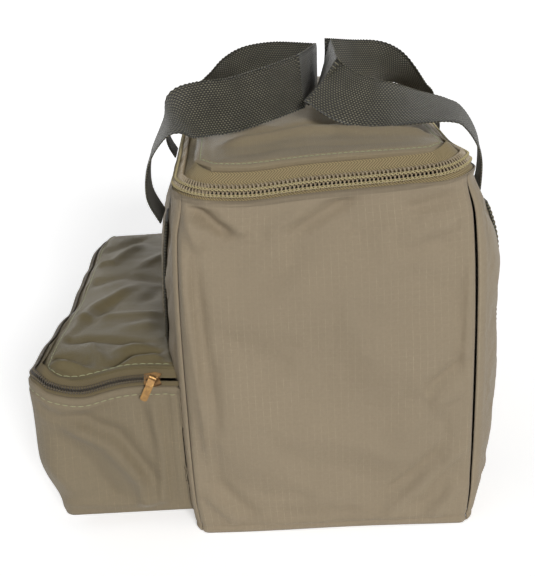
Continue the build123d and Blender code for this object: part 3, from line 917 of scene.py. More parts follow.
def twisted_sewing(name, rim, base_z, z, span, lines, material):
    """Rows of two strands that twist round each other over a coil, (along, height) each."""
    verts, faces = [], []
    for along, top in lines:
        for strand in (0, 1):
            points = []
            for distance in spread(span[0], span[1], z["pitch"] / 7):
                turn = pi * distance / z["pitch"] + pi * strand
                points.append(slope_point(rim, base_z, distance, along + 0.70 * mm * cos(turn),
                                          top + 0.30 * mm * sin(turn) - 0.22 * mm * cos(2 * turn)))
            tube(points, 0.38 * mm, 6, verts, faces)
    return finish_piece(name, verts, faces, None, material)


def slanted_sewing(name, rim, base_z, z, span, along, reach, material):
    """One slanted loop of thread over each turn of a coil row."""
    verts, faces = [], []
    top = z["tape"] / 2 + z["coil"] + 0.08 * mm
    distance = span[0]
    while distance + z["pitch"] < span[1]:
        points = []
        for share in (0.0, 0.25, 0.5, 0.75, 1.0):
            dip = 0.45 * z["coil"] * (1 - sin(pi * share))
            points.append(slope_point(rim, base_z, distance + 0.8 * z["pitch"] * share,
                                      along + (share - 0.5) * reach, top - dip))
        tube(points, 0.26 * mm, 6, verts, faces)
        distance += z["pitch"]
    return finish_piece(name, verts, faces, None, material)


def build_zip(prefix, rim, base_z, z, span, lower_end, materials, lid_body, blend_from, blend_to):
    """Both tapes, both coils and the sewing of one zip; the pieces on the lid side are baked in
    place and do not bend across its fold.
    """
    tape, nylon_material, thread_material = materials
    middle = z["below"] + z["chain"] / 2
    lower = zip_tape(prefix + "lower_tape", rim, base_z, z, span,
                     (1.4 * mm, middle - z["slit"] / 2), tape)
    upper = zip_tape(prefix + "upper_tape", rim, base_z, z, span,
                     (middle + z["slit"] / 2, slope_width(z)), tape)
    coil_slot = "main_coil" if prefix == "main_" else "pocket_coil"
    coil_span = (span[0], lower_end)
    lower_coil = coil_row(prefix + "lower_coil", rim, base_z, z, coil_span, False,
                          nylon_material)
    upper_coil = coil_row(prefix + "upper_coil", rim, base_z, z, coil_span, True,
                          nylon_material)
    quarter = z["chain"] / 4
    if prefix == "main_":
        lower_sewing = twisted_sewing("main_lower_sewing", rim, base_z, z, coil_span,
                                      ((middle - 4.1 * mm, 3.1 * mm),), thread_material)
        upper_sewing = twisted_sewing("main_upper_sewing", rim, base_z, z, coil_span,
                                      ((middle - 0.1 * mm, 4.2 * mm),), thread_material)
    else:
        lower_sewing = slanted_sewing("pocket_lower_sewing", rim, base_z, z, coil_span,
                                      middle - quarter * 1.2, 0.5 * mm, thread_material)
        upper_sewing = slanted_sewing("pocket_upper_sewing", rim, base_z, z, coil_span,
                                      middle + quarter * 1.1, 1.5 * mm, thread_material)
    for piece in (lower, lower_coil, lower_sewing):
        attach(piece, "bag")
    for piece in (upper, upper_coil, upper_sewing):
        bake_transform(piece)
        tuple(blend_from)
        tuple(blend_to)
    return lower, upper, lower_coil, upper_coil


main_rim = Rim([(-rim_x, zip_end_y), (-rim_x, -rim_y), (rim_x, -rim_y), (rim_x, zip_end_y)],
               rim_round, rim_wave)
coil_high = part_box("body_zip_coil")[1].y
main_coil_end = main_rim.length - (zip_end_y - coil_high)
bend = 5 * mm
coil_stop = 1.5 * mm
fold_start = (0, fold_y + bend, lid_top_z)
fold_end = (0, fold_y - bend, lid_top_z)
lower, upper, lower_coil, upper_coil = build_zip(
    "main_", main_rim, rim_z, main_zip, (0.0, main_rim.length), main_coil_end - coil_stop,
    (tape_cloth, coil_nylon, khaki_thread), "lid", fold_start, fold_end)
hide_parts("body_zip_tape")
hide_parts("lid_zip_tape", "left_zip_end", "right_zip_end")
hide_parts("body_zip_coil")
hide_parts("lid_zip_coil")

# ---------------------------------------------------------------- rear bevel
rear_rim = Rim([(rim_x, zip_end_y + 0.1 * mm), (rim_x, rim_y), (-rim_x, rim_y),
                (-rim_x, zip_end_y + 0.1 * mm)], rim_round - 0.5 * mm, rim_wave)
slope_length = slope_width(main_zip)


def bevel_place(distance, along):
    """Cloth from the rear wall's rim up to the edge of the lid."""
    puff = 0.9 * mm * sin(pi * along / slope_length) + 0.6 * mm * rumple(
        distance / mm, along / mm, 22, 40.0)
    return slope_point(rear_rim, rim_z, distance, along, 0.4 * mm + puff)


bevel = sheet("rear_bevel_cloth", bevel_place, spread(0.0, rear_rim.length, 3 * mm),
              spread(0.0, slope_length, 1.5 * mm), khaki)
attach(bevel, "bag")
declare_sheet(bevel, slope_length)
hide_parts("rear_bevel")

# ---------------------------------------------------------------- padded lid
lid_low, lid_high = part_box("lid_panel")
lid_x = lid_high.x
lid_front = -lid_low.y
lid_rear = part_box("rear_top_panel")[1].y
lid_seat = lid_low.z
lid_chamfer = 12 * mm
hem_width = 4.2 * mm


def lid_edge_distance(x, y):
    """Distance in from the lid's edge, chamfered corners included."""
    return min(lid_x - abs(x), y + lid_front, lid_rear - y,
               (lid_x - abs(x) + min(y + lid_front, lid_rear - y) - lid_chamfer) * tilt)


# Folds of the lid: points in (x, y), width and height in mm.
lid_folds = (
    (((-77, -80), (-70, -140)), 5.0, -2.2), (((-59, -77), (-32, -75)), 6.0, 2.4),
    (((-60, -112), (-26, -104), (14, -98), (37, -108), (80, -120)), 6.5, 5.0),
    (((-50, -94), (0, -82), (34, -90), (72, -104)), 6.0, -4.2),
    (((78, -45), (83, -55), (84, -142)), 3.6, 2.6), (((62, -49), (76, -124)), 6.0, -4.0),
    (((-64, -134), (-10, -128), (60, -136)), 6.0, -1.6),
    (((-42, -73), (-34, -20), (1, 31)), 5.0, 2.6), (((11, 19), (20, -30), (16, -71)), 5.0, 2.8),
    (((-56, -60), (-50, -10), (-30, 40)), 9.0, -2.6), (((36, -66), (38, 0)), 8.0, -2.6),
    (((-70, 60), (-10, 84), (60, 66)), 10.0, 2.0), (((-40, 104), (44, 98)), 7.0, -1.8),
)


def lid_height(x, y):
    """Top of the lid: stitched hem, padded crown and the hump and folds in the middle."""
    inward = max(lid_edge_distance(x, y), 0.0)
    wave = rim_wave(x, y)
    edge = 2.4 * mm + wave * (1.0 if wave < 0 else 0.35)
    crown = (2.0 * smooth(0.0, 6 * mm, inward) + 1.4 * smooth(0.0, 34 * mm, inward)) * mm
    hem = -0.5 * mm * mound(inward, 0.7 * mm) - 0.7 * mm * mound(inward - hem_width, 0.9 * mm)
    hem += 0.5 * mm * mound(inward - hem_width / 2, 1.4 * mm)
    xm, ym = x / mm, y / mm
    hump = mound(sqrt((xm + 9) ** 2 / 1.6 + (ym + 36) ** 2 / 7.0), 20) * 5.0
    folds = folds_along(xm, ym, lid_folds)
    folds += 1.2 * rumple(xm, ym, 42, 50.0) + 0.6 * rumple(xm, ym, 17, 51.0)
    calm = smooth(3.5 * mm, 11 * mm, inward)
    return lid_seat + edge + crown + hem + (1.5 * hump + folds) * mm * calm


def lid_place(u, y):
    """Point of the lid's top cloth; past the edge it turns down onto the zip's tape."""
    inner_y = min(max(y, -lid_front), lid_rear)
    end_gap = min(inner_y + lid_front, lid_rear - inner_y)
    half = lid_x - max(lid_chamfer - end_gap, 0.0)
    inner_u = min(max(u, -1.0), 1.0)
    waver = 0.5 * mm * rumple(inner_y / mm, inner_u * 3, 18, 60.0) * abs(inner_u) ** 8
    x = inner_u * (half + waver)
    over = max(abs(u - inner_u) * lid_x, abs(y - inner_y))
    tuck = 0.25 * over
    back = tuck if y > inner_y else -tuck if y < inner_y else 0.0
    return Vector((x * (1 - tuck / lid_x), inner_y - back, lid_height(x, inner_y) - over))


lip = 3.4 * mm
lid_us = [-1 - lip / lid_x, -1 - lip / lid_x / 2, -1 - 0.3 * mm / lid_x]
lid_us = lid_us + edge_spread(-1.0, 1.0, 0.10, 0.009, 0.03) + [-u for u in reversed(lid_us)]
lid_ys = [-lid_front - lip, -lid_front - lip / 2, -lid_front - 0.3 * mm]
lid_ys = (lid_ys + edge_spread(-lid_front, lid_rear, 14 * mm, 0.8 * mm, 2.8 * mm)
          + [lid_rear + 0.3 * mm, lid_rear + lip / 2, lid_rear + lip])
# The lid's cloth uses the darker khaki copy, painted shade for its up-facing top.
lid = sheet("lid_cloth", lid_place, lid_us, lid_ys, khaki_lid_painted_shade, thick=0,
            uv=lambda u, y: (u * lid_x, y))


def lid_held(index):
    """The sewn hem holds the lid's cloth; the middle is free."""
    u, y = lid_us[index % len(lid_us)], lid_ys[index // len(lid_us)]
    inward = lid_edge_distance(u * lid_x, y)
    return 1 - smooth(6 * mm, 22 * mm, inward)


settling.add(lid, lid_held, 0.012, 0.3, 4 * mm)
settling.run()
thicken(lid, lid_cloth_thick)


def lid_lining_place(u, y):
    """Under side of the lid: nearly flat inner cloth."""
    spot = lid_place(u * 0.965, y)
    sag = 0.8 * mm * rumple(spot.x / mm, spot.y / mm, 36, 70.0)
    return Vector((spot.x, spot.y, lid_seat - 3.0 * mm + rim_wave(spot.x, spot.y) * 0.3 + sag))


lid_lining = sheet("lid_inner_cloth", lid_lining_place, spread(-1, 1, 0.04),
                   spread(-lid_front + 4 * mm, lid_rear - 4 * mm, 4 * mm), inner_cloth,
                   thick=thin_cloth, flip=True, uv=lambda u, y: (u * lid_x, y))
for piece in (lid, lid_lining):
    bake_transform(piece)
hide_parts("lid_panel", "lid_foam", "rear_top_panel", "rear_top_foam")
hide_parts("lid_liner", "rear_top_liner")
declare_sheet(lid_lining, 2 * lid_x)


def lid_stitch_path():
    """Line of topstitching one hem width in from the lid's edge."""
    x, front, rear = lid_x - hem_width, -lid_front + hem_width, lid_rear - hem_width
    cut = lid_chamfer - hem_width * 0.6
    corners = [(-x, rear - cut), (-x, front + cut), (-x + cut, front), (x - cut, front),
               (x, front + cut), (x, rear - cut), (x - cut, rear), (-x + cut, rear),
               (-x, rear - cut)]
    line = []
    for (ax, ay), (bx, by) in zip(corners, corners[1:]):
        for share in spread(0.0, 1.0, 3 * mm / max(abs(bx - ax), abs(by - ay), 3 * mm))[:-1]:
            px, py = ax + (bx - ax) * share, ay + (by - ay) * share
            line.append((Vector((px, py, lid_height(px, py) + 0.15 * mm)), up))
    return line


lid_stitches = stitch_line("lid_topstitching", lid_stitch_path(), green_thread)
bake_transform(lid_stitches)

# ---------------------------------------------------------------- side pocket
pocket_outer = -pocket_low.x
pocket_half = -pocket_front
pocket_height = pocket_rim - pocket_foot
pocket_taper = 15 * mm
pocket_hem = 5.2 * mm
pocket_lid_hem = 3.4 * mm
wall_edge = half_width
pocket_root = 4 * mm - wall_edge


def pocket_wave(x, y):
    """Rise of the pocket's rim: slack along the front, up at its outer corner."""
    front_part = smooth(0.80, 0.95, -y / pocket_half)
    over = (-x - wall_edge) / (pocket_outer - wall_edge)
    across = (over - 0.26) / 0.74
    front = 1.8 - 6.8 * mound(across - 0.57, 0.27) + 3.6 * smooth(0.86, 1.0, across)
    side_part = smooth(0.75, 0.98, over)
    side = 1.6 * sin(y / mm / 17.0) + 1.2 * sin(y / mm / 9.0 + 1.0)
    side += 6.0 * mound(y / mm + 141, 42)
    return (front * front_part * smooth(0.0, 0.3, over) + side * side_part * (
        1 - front_part)) * mm


def pocket_bow(x, y):
    """The pocket's outer edge draws in towards the rear."""
    over = max((-x - wall_edge) / (pocket_outer - wall_edge), 0.0)
    ym = y / mm
    step = 5.5 * smooth(-80, 10, ym) + 4.5 * smooth(95, 155, ym) - 5.0 * mound(ym + 149, 48)
    return Vector((step * over * over * mm, 0, 0))


def body_face(y, z):
    """x of the main body's left side at a height, webbing and a little room included."""
    side_y = min(max(-y / half_length, -0.999), 0.999)
    return wall_point("left", side_y, z / rim_z, 0.6 * mm).x


pocket_rim_path = Rim([(pocket_root, pocket_half), (-pocket_outer, pocket_half),
                       (-pocket_outer, -pocket_half), (pocket_root, -pocket_half)],
                      pocket_round, pocket_wave, pocket_bow)


def pocket_draw(share):
    """How far the pocket's walls draw in at a share of its height."""
    foot = 2.0 * (1 - smooth(0.0, 0.06, share)) ** 2
    return (1.3 * pocket_taper / mm * (1 - smooth(-0.12, 0.46, share)) + foot) * mm


def pocket_wrinkles(distance, z):
    """Folds of the pocket's walls, by distance round its rim and height (mm)."""
    d, z = distance / mm, z / mm
    total = pocket_rim_path.length / mm
    out = 1.8 * rumple(d, z, 46, 80.0) + 0.9 * rumple(d, z, 20, 81.0)
    out += 1.2 * sin(d / 13.0 + 1.5 * rumple(d, z, 60, 82.0)) * smooth(120, 160, d) * (
        1 - smooth(total - 160, total - 125, d)) * smooth(40, 100, z)
    x = total - d + 97
    seam = (-109 + x) if d > total - 70 else 50
    out += 1.6 * mound(seam, 1.5) - 1.2 * mound(seam - 3.5, 2.5)
    out += folds_along(-x, z, (
        (((-179, 90), (-155, 73), (-136, 43), (-131, 12)), 5.0, 3.4),
        (((-172, 98), (-147, 80), (-126, 44)), 5.0, -2.8),
        (((-149, 74), (-131, 40)), 3.5, 2.0), (((-190, 84), (-168, 58), (-152, 26)), 8.0, -2.6),
        (((-196, 60), (-176, 30)), 7.0, 2.0), (((-122, 102), (-118, 60), (-121, 26)), 4.0, 2.2),
        (((-130, 100), (-126, 74)), 3.5, -1.8), (((-200, 100), (-184, 96), (-150, 102)), 5.0, -1.8),
        (((-188, 24), (-140, 20), (-116, 24)), 4.5, 1.6),
    )) * 1.5 * smooth(total - 150, total - 118, d)
    return out * mm


def pocket_wall_place(distance, share):
    """Point of the pocket's wall cloth."""
    spot, run, inward = pocket_rim_path.at(distance)
    draw = pocket_draw(share)
    drop = 2.0 * mm * (1 - smooth(0.0, 0.1, share))
    height = pocket_foot - drop + min(share, 1.0) * (pocket_height + drop)
    calm = smooth(0.02, 0.10, share) * (1 - smooth(0.92, 1.0, share))
    ends = smooth(0.0, 8 * mm, min(distance, pocket_rim_path.length - distance))
    hem = -0.9 * mm * mound((1 - share) * pocket_height - pocket_hem, 1.0 * mm)
    out = pocket_wrinkles(distance, height) * calm * ends + hem
    place = spot + inward * (draw * (0.30 + 0.70 * abs(run.y) ** 2) - out)
    rise = pocket_wave(spot.x, spot.y) * smooth(0.5, 1.0, share)
    if share > 1.0:
        over = (share - 1.0) * pocket_height
        place += inward * over * 0.8
        rise += over * 0.55
    point = Vector((place.x, place.y, height + rise))
    limit = body_face(point.y, point.z)
    if point.x > limit:
        point.x = limit
    return point


pocket_rows = (spread(0.0, 0.10, 0.012) + spread(0.10, 0.86, 0.026)[1:]
               + spread(0.86, 1.0, 0.010)[1:] + [1.0 + step * mm / pocket_height
                                                 for step in (0.5, 1.2, 2.2)])
pocket_ds = spread(0.0, pocket_rim_path.length, 2.2 * mm)
# The pocket's walls use a darker khaki copy, painted shade for walls that lean away from the light.
pocket_walls = sheet("pocket_wall_cloth", pocket_wall_place, pocket_ds, pocket_rows,
                     khaki_pocket_painted_shade, thick=0,
                     uv=lambda d, share: (d, share * pocket_height))


def pocket_held(index):
    """The seams, the foot and the sewn top edge hold the pocket's walls."""
    distance = pocket_ds[index % len(pocket_ds)]
    share = pocket_rows[index // len(pocket_ds)]
    free = smooth(6 * mm, 20 * mm, min(distance, pocket_rim_path.length - distance))
    free *= smooth(0.04, 0.16, share) * (1 - smooth(0.84, 0.93, share))
    return 1 - free


settling.add(pocket_walls, pocket_held, 0.03, 0.15, 4 * mm)


def pocket_base_place(u, v):
    """Pocket's underside, bulging a little below its seam."""
    half_y = pocket_half - pocket_draw(0.0) * 0.30
    y = v * half_y
    outer = -(pocket_outer - pocket_draw(0.0))
    corner = 1 - smooth(0.86, 1.0, abs(v))
    past = max(abs(v) - 0.90, 0.0) / 0.10
    outer += (1 - sqrt(max(1 - past ** 2, 0.0))) * 16 * mm
    inner = body_face(y, pocket_foot)
    x = inner + (outer - inner) * u
    belly = 5.5 * mm * sin(pi * min(max(u, 0.0), 1.0)) ** 0.7 * (1 - v ** 6) * corner
    loose = 0.9 * mm * rumple(x / mm, y / mm, 30, 90.0)
    return Vector((x, y, pocket_foot - 1.6 * mm - belly + loose * 0.6))


pocket_base = sheet("pocket_base_cloth", pocket_base_place, spread(0, 1, 0.035),
                    spread(-1, 1, 0.012), khaki,
                    uv=lambda u, v: (u * 0.09, v * pocket_half))
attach(pocket_base, "bag")
declare_sheet(pocket_base, pocket_outer - wall_edge)
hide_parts("pocket_base")

slider_low, slider_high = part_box("pocket_slider")
pocket_slider_x = (slider_low.x + slider_high.x) / 2
pocket_coil_end = pocket_rim_path.length - (pocket_root - pocket_slider_x)
pocket_bend = 3 * mm
pocket_blend = ((pocket_fold_x + pocket_bend, 0, pocket_lid_z),
                (pocket_fold_x - pocket_bend, 0, pocket_lid_z))
lower, upper, lower_coil, upper_coil = build_zip(
    "pocket_", pocket_rim_path, pocket_rim, pocket_zip,
    (0.0, pocket_rim_path.length), pocket_coil_end - coil_stop,
    (dark_tape, dark_nylon, dark_khaki_thread), "pocket_lid", *pocket_blend)
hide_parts("pocket_zip_tape")
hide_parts("pocket_lid_zip_tape", "pocket_front_zip_end", "pocket_rear_zip_end")
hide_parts("pocket_zip_coil")
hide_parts("pocket_lid_zip_coil")

pocket_lid_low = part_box("pocket_lid_panel")[0]
pocket_lid_edge = -pocket_lid_low.x
pocket_lid_half = -pocket_lid_low.y
pocket_corner = 14 * mm
pocket_reach = 90 * mm
pocket_edge_z = pocket_rim + 1.2 * mm + slope_width(pocket_zip) * tilt
# Folds of the pocket's top: points in (x, y), width and height in mm.
pocket_folds = (
    (((-198, -146), (-187, -143), (-175, -147), (-160, -158)), 3.6, 3.4),
    (((-196, -136), (-180, -134), (-164, -144)), 4.5, -3.0),
    (((-157, -164), (-136, -138), (-117, -134)), 4.0, -3.8),
    (((-150, -160), (-132, -148), (-116, -146)), 5.0, 2.6),
    (((-168, -116), (-155, -146)), 5.0, 2.8), (((-148, -130), (-122, -122)), 5.0, 2.4),
    (((-199, -111), (-184, -79), (-179, -43), (-151, -2)), 6.0, 3.2),
    (((-190, -96), (-172, -60), (-160, -20)), 7.0, -2.6),
    (((-197, -60), (-142, -63), (-124, -65)), 6.0, 2.0),
    (((-187, -105), (-159, -108), (-121, -122)), 5.0, -2.8),
    (((-150, -90), (-124, -84)), 8.0, 2.4), (((-140, -40), (-122, 6)), 7.0, -2.0),
    (((-196, 20), (-160, 30), (-124, 14)), 8.0, -2.0),
    (((-199, 67), (-176, 69), (-154, 110)), 6.0, 3.0),
    (((-150, 50), (-124, 84)), 7.0, 2.4), (((-186, 104), (-150, 138)), 7.0, -2.2),
)


def pocket_lid_height(x, y):
    """Top of the pocket: a slack cloth with long diagonal folds and a tuck in front."""
    from_outer = x + pocket_lid_edge
    from_end = pocket_lid_half - abs(y)
    inward = max(min(from_outer, from_end), 0.0)
    edge = pocket_wave(x, y * pocket_half / pocket_lid_half) * mound(inward, 16 * mm)
    crown = (1.2 * smooth(0.0, 5 * mm, inward) + 1.8 * smooth(0.0, 22 * mm, inward)) * mm
    climb = 2.4 * mm * smooth(0.35, 1.0, 1 - from_outer / (pocket_lid_edge - wall_edge))
    xm, ym = x / mm, y / mm
    out = folds_along(xm, ym, pocket_folds)
    out += 1.4 * rumple(xm, ym, 40, 95.0) + 0.7 * rumple(xm, ym, 16, 96.0)
    hem = -0.6 * mm * mound(inward - pocket_lid_hem, 0.8 * mm)
    hem -= 0.4 * mm * mound(inward, 0.7 * mm)
    calm = smooth(2 * mm, 10 * mm, inward)
    return pocket_edge_z + edge + crown - climb * 0.4 + out * mm * calm * 1.35 + hem


def pocket_lid_place(u, y):
    """Point of the pocket's top cloth; past its edge it turns down onto the tape."""
    inner_u, inner_y = min(u, 1.0), min(max(y, -pocket_lid_half), pocket_lid_half)
    cut = max(pocket_corner - pocket_lid_half + abs(inner_y), 0.0)
    outer = -pocket_lid_edge + pocket_corner - sqrt(max(pocket_corner ** 2 - cut ** 2, 0.0))
    inner = body_face(inner_y, pocket_edge_z)
    x = inner + (outer - inner) * inner_u
    over = max((u - inner_u) * pocket_reach, abs(y - inner_y))
    shift = pocket_bow(x, inner_y)
    return Vector((x + shift.x + 0.2 * over * inner_u, inner_y * (1 - 0.2 * over / pocket_half),
                   pocket_lid_height(x, inner_y) - over))


pocket_lip = 2.2 * mm
pocket_us = (spread(0.0, 0.86, 0.03) + spread(0.86, 1.0, 0.01)[1:]
             + [1.0 + step * pocket_lip / pocket_reach for step in (0.1, 0.5, 1.0)])
pocket_ys = [-pocket_lid_half - step * pocket_lip for step in (1.0, 0.5, 0.1)]
pocket_ys = (pocket_ys + edge_spread(-pocket_lid_half, pocket_lid_half, 12 * mm, 0.9 * mm,
                                     2.6 * mm) + [-y for y in reversed(pocket_ys)])
# The pocket's top uses the darkest khaki copy, painted shade for its up-facing cloth.
pocket_top = sheet("pocket_lid_cloth", pocket_lid_place, pocket_us, pocket_ys,
                   khaki_pocket_lid_painted_shade, flip=True, thick=0,
                   uv=lambda u, y: (y, u * 0.09))


def pocket_top_held(index):
    """The hem and the seam on the body hold the pocket's top."""
    u, y = pocket_us[index % len(pocket_us)], pocket_ys[index // len(pocket_us)]
    inward = min(u, 1 - u) * (pocket_lid_edge - wall_edge)
    return 1 - smooth(5 * mm, 16 * mm, min(inward, pocket_lid_half - abs(y)))


settling.add(pocket_top, pocket_top_held, 0.02, 0.05, 3 * mm)
settling.run()
thicken(pocket_walls, cloth)
thicken(pocket_top, fine_cloth)
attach(pocket_walls, "bag")
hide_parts("pocket_front_wall", "pocket_outer_wall", "pocket_rear_wall")
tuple(pocket_blend[0])
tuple(pocket_blend[1])
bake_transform(pocket_top)
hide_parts("pocket_lid_panel", "pocket_top_strip")


def pocket_lid_stitches():
    """Topstitching beside the outer edge of the pocket's top."""
    radius = pocket_corner - pocket_lid_hem
    x_outer, y_end = -pocket_lid_edge + pocket_lid_hem, pocket_lid_half - pocket_lid_hem
    route = [(x, y_end) for x in spread(-wall_edge - 12 * mm, x_outer + radius, 3 * mm)]
    route += [(x_outer + radius - radius * sin(turn), y_end - radius + radius * cos(turn))
              for turn in spread(0.0, pi / 2, 0.2)]
    route += [(x_outer, y) for y in spread(y_end - radius, -y_end + radius, 3 * mm)]
    route += [(x_outer + radius - radius * cos(turn), -y_end + radius - radius * sin(turn))
              for turn in spread(0.0, pi / 2, 0.2)]
    route += [(x, -y_end) for x in spread(x_outer + radius, -wall_edge - 8 * mm, 3 * mm)]
    line = []
    for x, y in route:
        shift = pocket_bow(x, y)
        line.append((Vector((x + shift.x, y, pocket_lid_height(x, y) + 0.12 * mm)), up))
    return line


long_stitch = dict(length=4.2 * mm, gap=1.2 * mm, radius=0.3 * mm)
lid_thread = stitch_line("pocket_lid_topstitching", pocket_lid_stitches(), green_thread,
                         **long_stitch)
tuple(pocket_blend[0])
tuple(pocket_blend[1])
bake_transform(lid_thread)

wall_line = []
for distance in spread(6 * mm, pocket_rim_path.length - 6 * mm, 3 * mm):
    share = 1 - pocket_hem / pocket_height
    point = pocket_wall_place(distance, share)
    wall_line.append((point, -pocket_rim_path.at(distance)[2]))
wall_thread = stitch_line("pocket_wall_topstitching", wall_line, green_thread, **long_stitch)
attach(wall_thread, "bag")

# ---------------------------------------------------------------- webbing
def web_route(side, route, top):
    """Runs of (middle point, roll, lean) between a handle's sharp folds."""
    runs = [[]]
    for reach, share, rise, roll, lean, sharp in route:
        key = (Vector((top.x - side * reach * mm, share * strip_middle, top.z + rise * mm)),
               float(roll), lean)
        runs[-1].append(key)
        if sharp:
            runs.append([key])
    return runs


def catmull(values, position):
    """Smooth value at a position counted in points."""
    index = min(max(int(position), 0), len(values) - 2)
    t = position - index
    p = [values[min(max(index + k, 0), len(values) - 1)] for k in (-1, 0, 1, 2)]
    return (p[1] * 2 + (p[2] - p[0]) * t + (p[0] * 2 - p[1] * 5 + p[2] * 4 - p[3]) * t * t
            + (p[1] * 3 - p[0] - p[2] * 3 + p[3]) * t ** 3) * 0.5


def even_rows(runs, step):
    """Evenly spaced (middle point, roll, lean) rows along a handle's runs."""
    dense = []
    for keys in runs:
        columns = [[key[column] for key in keys] for column in range(3)]
        count = (len(keys) - 1) * 16
        for index in range(1 if dense else 0, count + 1):
            dense.append([catmull(column, index / 16) for column in columns])
    rows, carried = [dense[0]], 0.0
    for one, two in zip(dense, dense[1:]):
        length = (two[0] - one[0]).length
        while carried + step <= length:
            carried += step
            share = carried / length
            rows.append([one[0].lerp(two[0], share)]
                        + [one[k] + (two[k] - one[k]) * share for k in (1, 2)])
        carried -= length
    return rows


def band(name, runs, material):
    """Flat woven band along a route, with the small loops of its selvedges."""
    step, tooth = 0.65 * mm, 2.6 * mm
    rows = even_rows(runs, step)
    verts, faces, uvs = [], [], []
    across_steps = 12
    last = len(rows) - 1
    for index, (centre, roll, lean) in enumerate(rows):
        run = rows[min(index + 2, last)][0] - rows[max(index - 2, 0)][0]
        run.normalize()
        across = Vector((lean, cos(radians(roll)), sin(radians(roll))))
        across = (across - run * across.dot(run)).normalized()
        out = run.cross(across)
        travelled = index * step
        edge = 0.35 * mm * sin(travelled * 2 * pi / tooth)
        for turn in range(across_steps + 1):
            v = (turn / across_steps - 0.5) * web_width
            curl = 0.8 * mm * rumple(travelled / mm, v / mm, 34, 100 + len(name))
            wide = v
            if turn in (0, across_steps):
                wide += edge if v > 0 else -edge
            place = centre + across * wide + out * curl
            for face in (1, -1):
                thin = 0.55 if turn in (0, across_steps) else 1.0
                verts.append(place + out * face * thin * web_thick / 2)
                uvs.append((travelled, v))
    ring = (across_steps + 1) * 2
    for index in range(last):
        for turn in range(across_steps):
            for face in (0, 1):
                a = index * ring + turn * 2 + face
                b, c, d = a + 2, a + 2 + ring, a + ring
                faces.append((a, b, c, d) if face else (a, d, c, b))
        for turn in (0, across_steps):
            a = index * ring + turn * 2
            b, c, d = a + 1, a + 1 + ring, a + ring
            faces.append((a, b, c, d) if turn else (a, d, c, b))
    return finish_piece(name, verts, faces, uvs, material)


# Reach across in mm, share of the leg's place, rise in mm, roll in degrees, lean, sharp fold.
left_route = (
    (0, -1.00, 0, 0, 0, 0), (-8, -1.00, 18, 0, 0, 0), (-6, -1.01, 40, 4, 0, 0),
    (4, -1.04, 60, 22, .1, 0), (15, -1.05, 72, 47, .2, 0), (33, -1.02, 75, 75, .1, 0),
    (54, -.97, 76, 88, .05, 0), (80, -.87, 81, 90, 0, 0), (103, -.735, 86, 90, -.05, 1),
    (108, -.45, 84, 90, -.03, 0), (116, .10, 80, 90, 0, 0), (123, .61, 75.5, 90, 0, 1),
    (93, .80, 76, 90, 0, 0), (72, .86, 74, 95, 0, 0), (56, .90, 69, 116, 0, 0),
    (42, .93, 63, 143, 0, 0), (28, .96, 56, 156, 0, 0), (10, .99, 43, 161, .05, 0),
    (-6, 1.00, 18, 176, 0, 0),
    (0, 1.00, 0, 180, 0, 0),
)
right_route = (
    (0, -1.00, 0, 0, .03, 0), (-4, -1.00, 18, 0, .12, 0), (-3, -1.00, 40, 3, .17, 0),
    (8, -1.03, 60, 8, .16, 0), (19.6, -1.04, 66.8, 14, .1, 0), (41.6, -1.02, 69.5, 27, 0, 0),
    (58, -.99, 71, 42, 0, 0), (72.8, -.97, 72, 58, .05, 0), (90, -.94, 78, 62, .25, 0),
    (104, -.87, 87, 58, .6, 1), (98, -.20, 84, 62, .4, 0), (93, .40, 82, 60, .3, 1),
    (70, .62, 77, 75, .1, 0), (50, .74, 74, 90, 0, 0), (38, .80, 69, 112, 0, 0),
    (26, .85, 62, 140, 0, 0), (14, .91, 52, 156, .05, 0), (2, .97, 40, 164, 0, 0),
    (-8, 1.00, 17, 180, 0, 0), (0, 1.00, 0, 180, 0, 0),
)
strip_top_x = hinges["right_handle_swing"]["pos_m"][0]
for side, name, route in ((-1, "left", left_route), (1, "right", right_route)):
    top = Vector((side * strip_top_x, 0, strip_high.z + 0.3 * mm))
    handle = band(name + "_handle_webbing", web_route(side, route, top), webbing)
    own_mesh(handle)
    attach(handle, name + "_handle")
    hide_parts(name + "_handle")
    for middle_y, leg in ((-strip_middle, "front"), (strip_middle, "rear")):
        def strip_place(v, z, middle_y=middle_y, side=side):
            return side_point(side, middle_y + v, z, 1.9 * mm)
        strip = sheet(f"{name}_{leg}_sewn_webbing", strip_place,
                      spread(-web_width / 2, web_width / 2, 2.4 * mm),
                      spread(strip_low.z, strip_high.z, 3 * mm), webbing,
                      thick=web_thick, flip=side < 0, uv=lambda v, z: (z, v))
        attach(strip, "bag")
        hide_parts(name + "_handle_anchors")


def sewn_rows(name, side, middle_y):
    """Thread along both edges of a sewn strip and a crossed box at its top."""
    edge, low, high = web_width / 2 - 3.5 * mm, strip_low.z + 4 * mm, strip_high.z - 4 * mm
    box_low = high - 32 * mm
    rows = [[(-edge, low), (-edge, high), (edge, high), (edge, low), (-edge, low)],
            [(-edge, high), (edge, box_low), (-edge, box_low), (edge, high)]]
    for number, corners in enumerate(rows):
        line = []
        for (av, az), (bv, bz) in zip(corners, corners[1:]):
            count = max(abs(bv - av), abs(bz - az)) / (3 * mm)
            for share in spread(0.0, 1.0, 1 / count)[:-1]:
                y, z = middle_y + (av + (bv - av) * share), az + (bz - az) * share
                line.append((side_point(side, y, z, 2.2 * mm), Vector((side, 0, 0))))
        row = stitch_line(f"{name}_{number}", line, dark_khaki_thread, radius=0.3 * mm,
                          slot_name="webbing")
        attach(row, "bag")


for side, name in ((-1, "left"), (1, "right")):
    for middle_y, leg in ((-strip_middle, "front"), (strip_middle, "rear")):
        sewn_rows(f"{name}_{leg}_strip_sewing", side, middle_y)


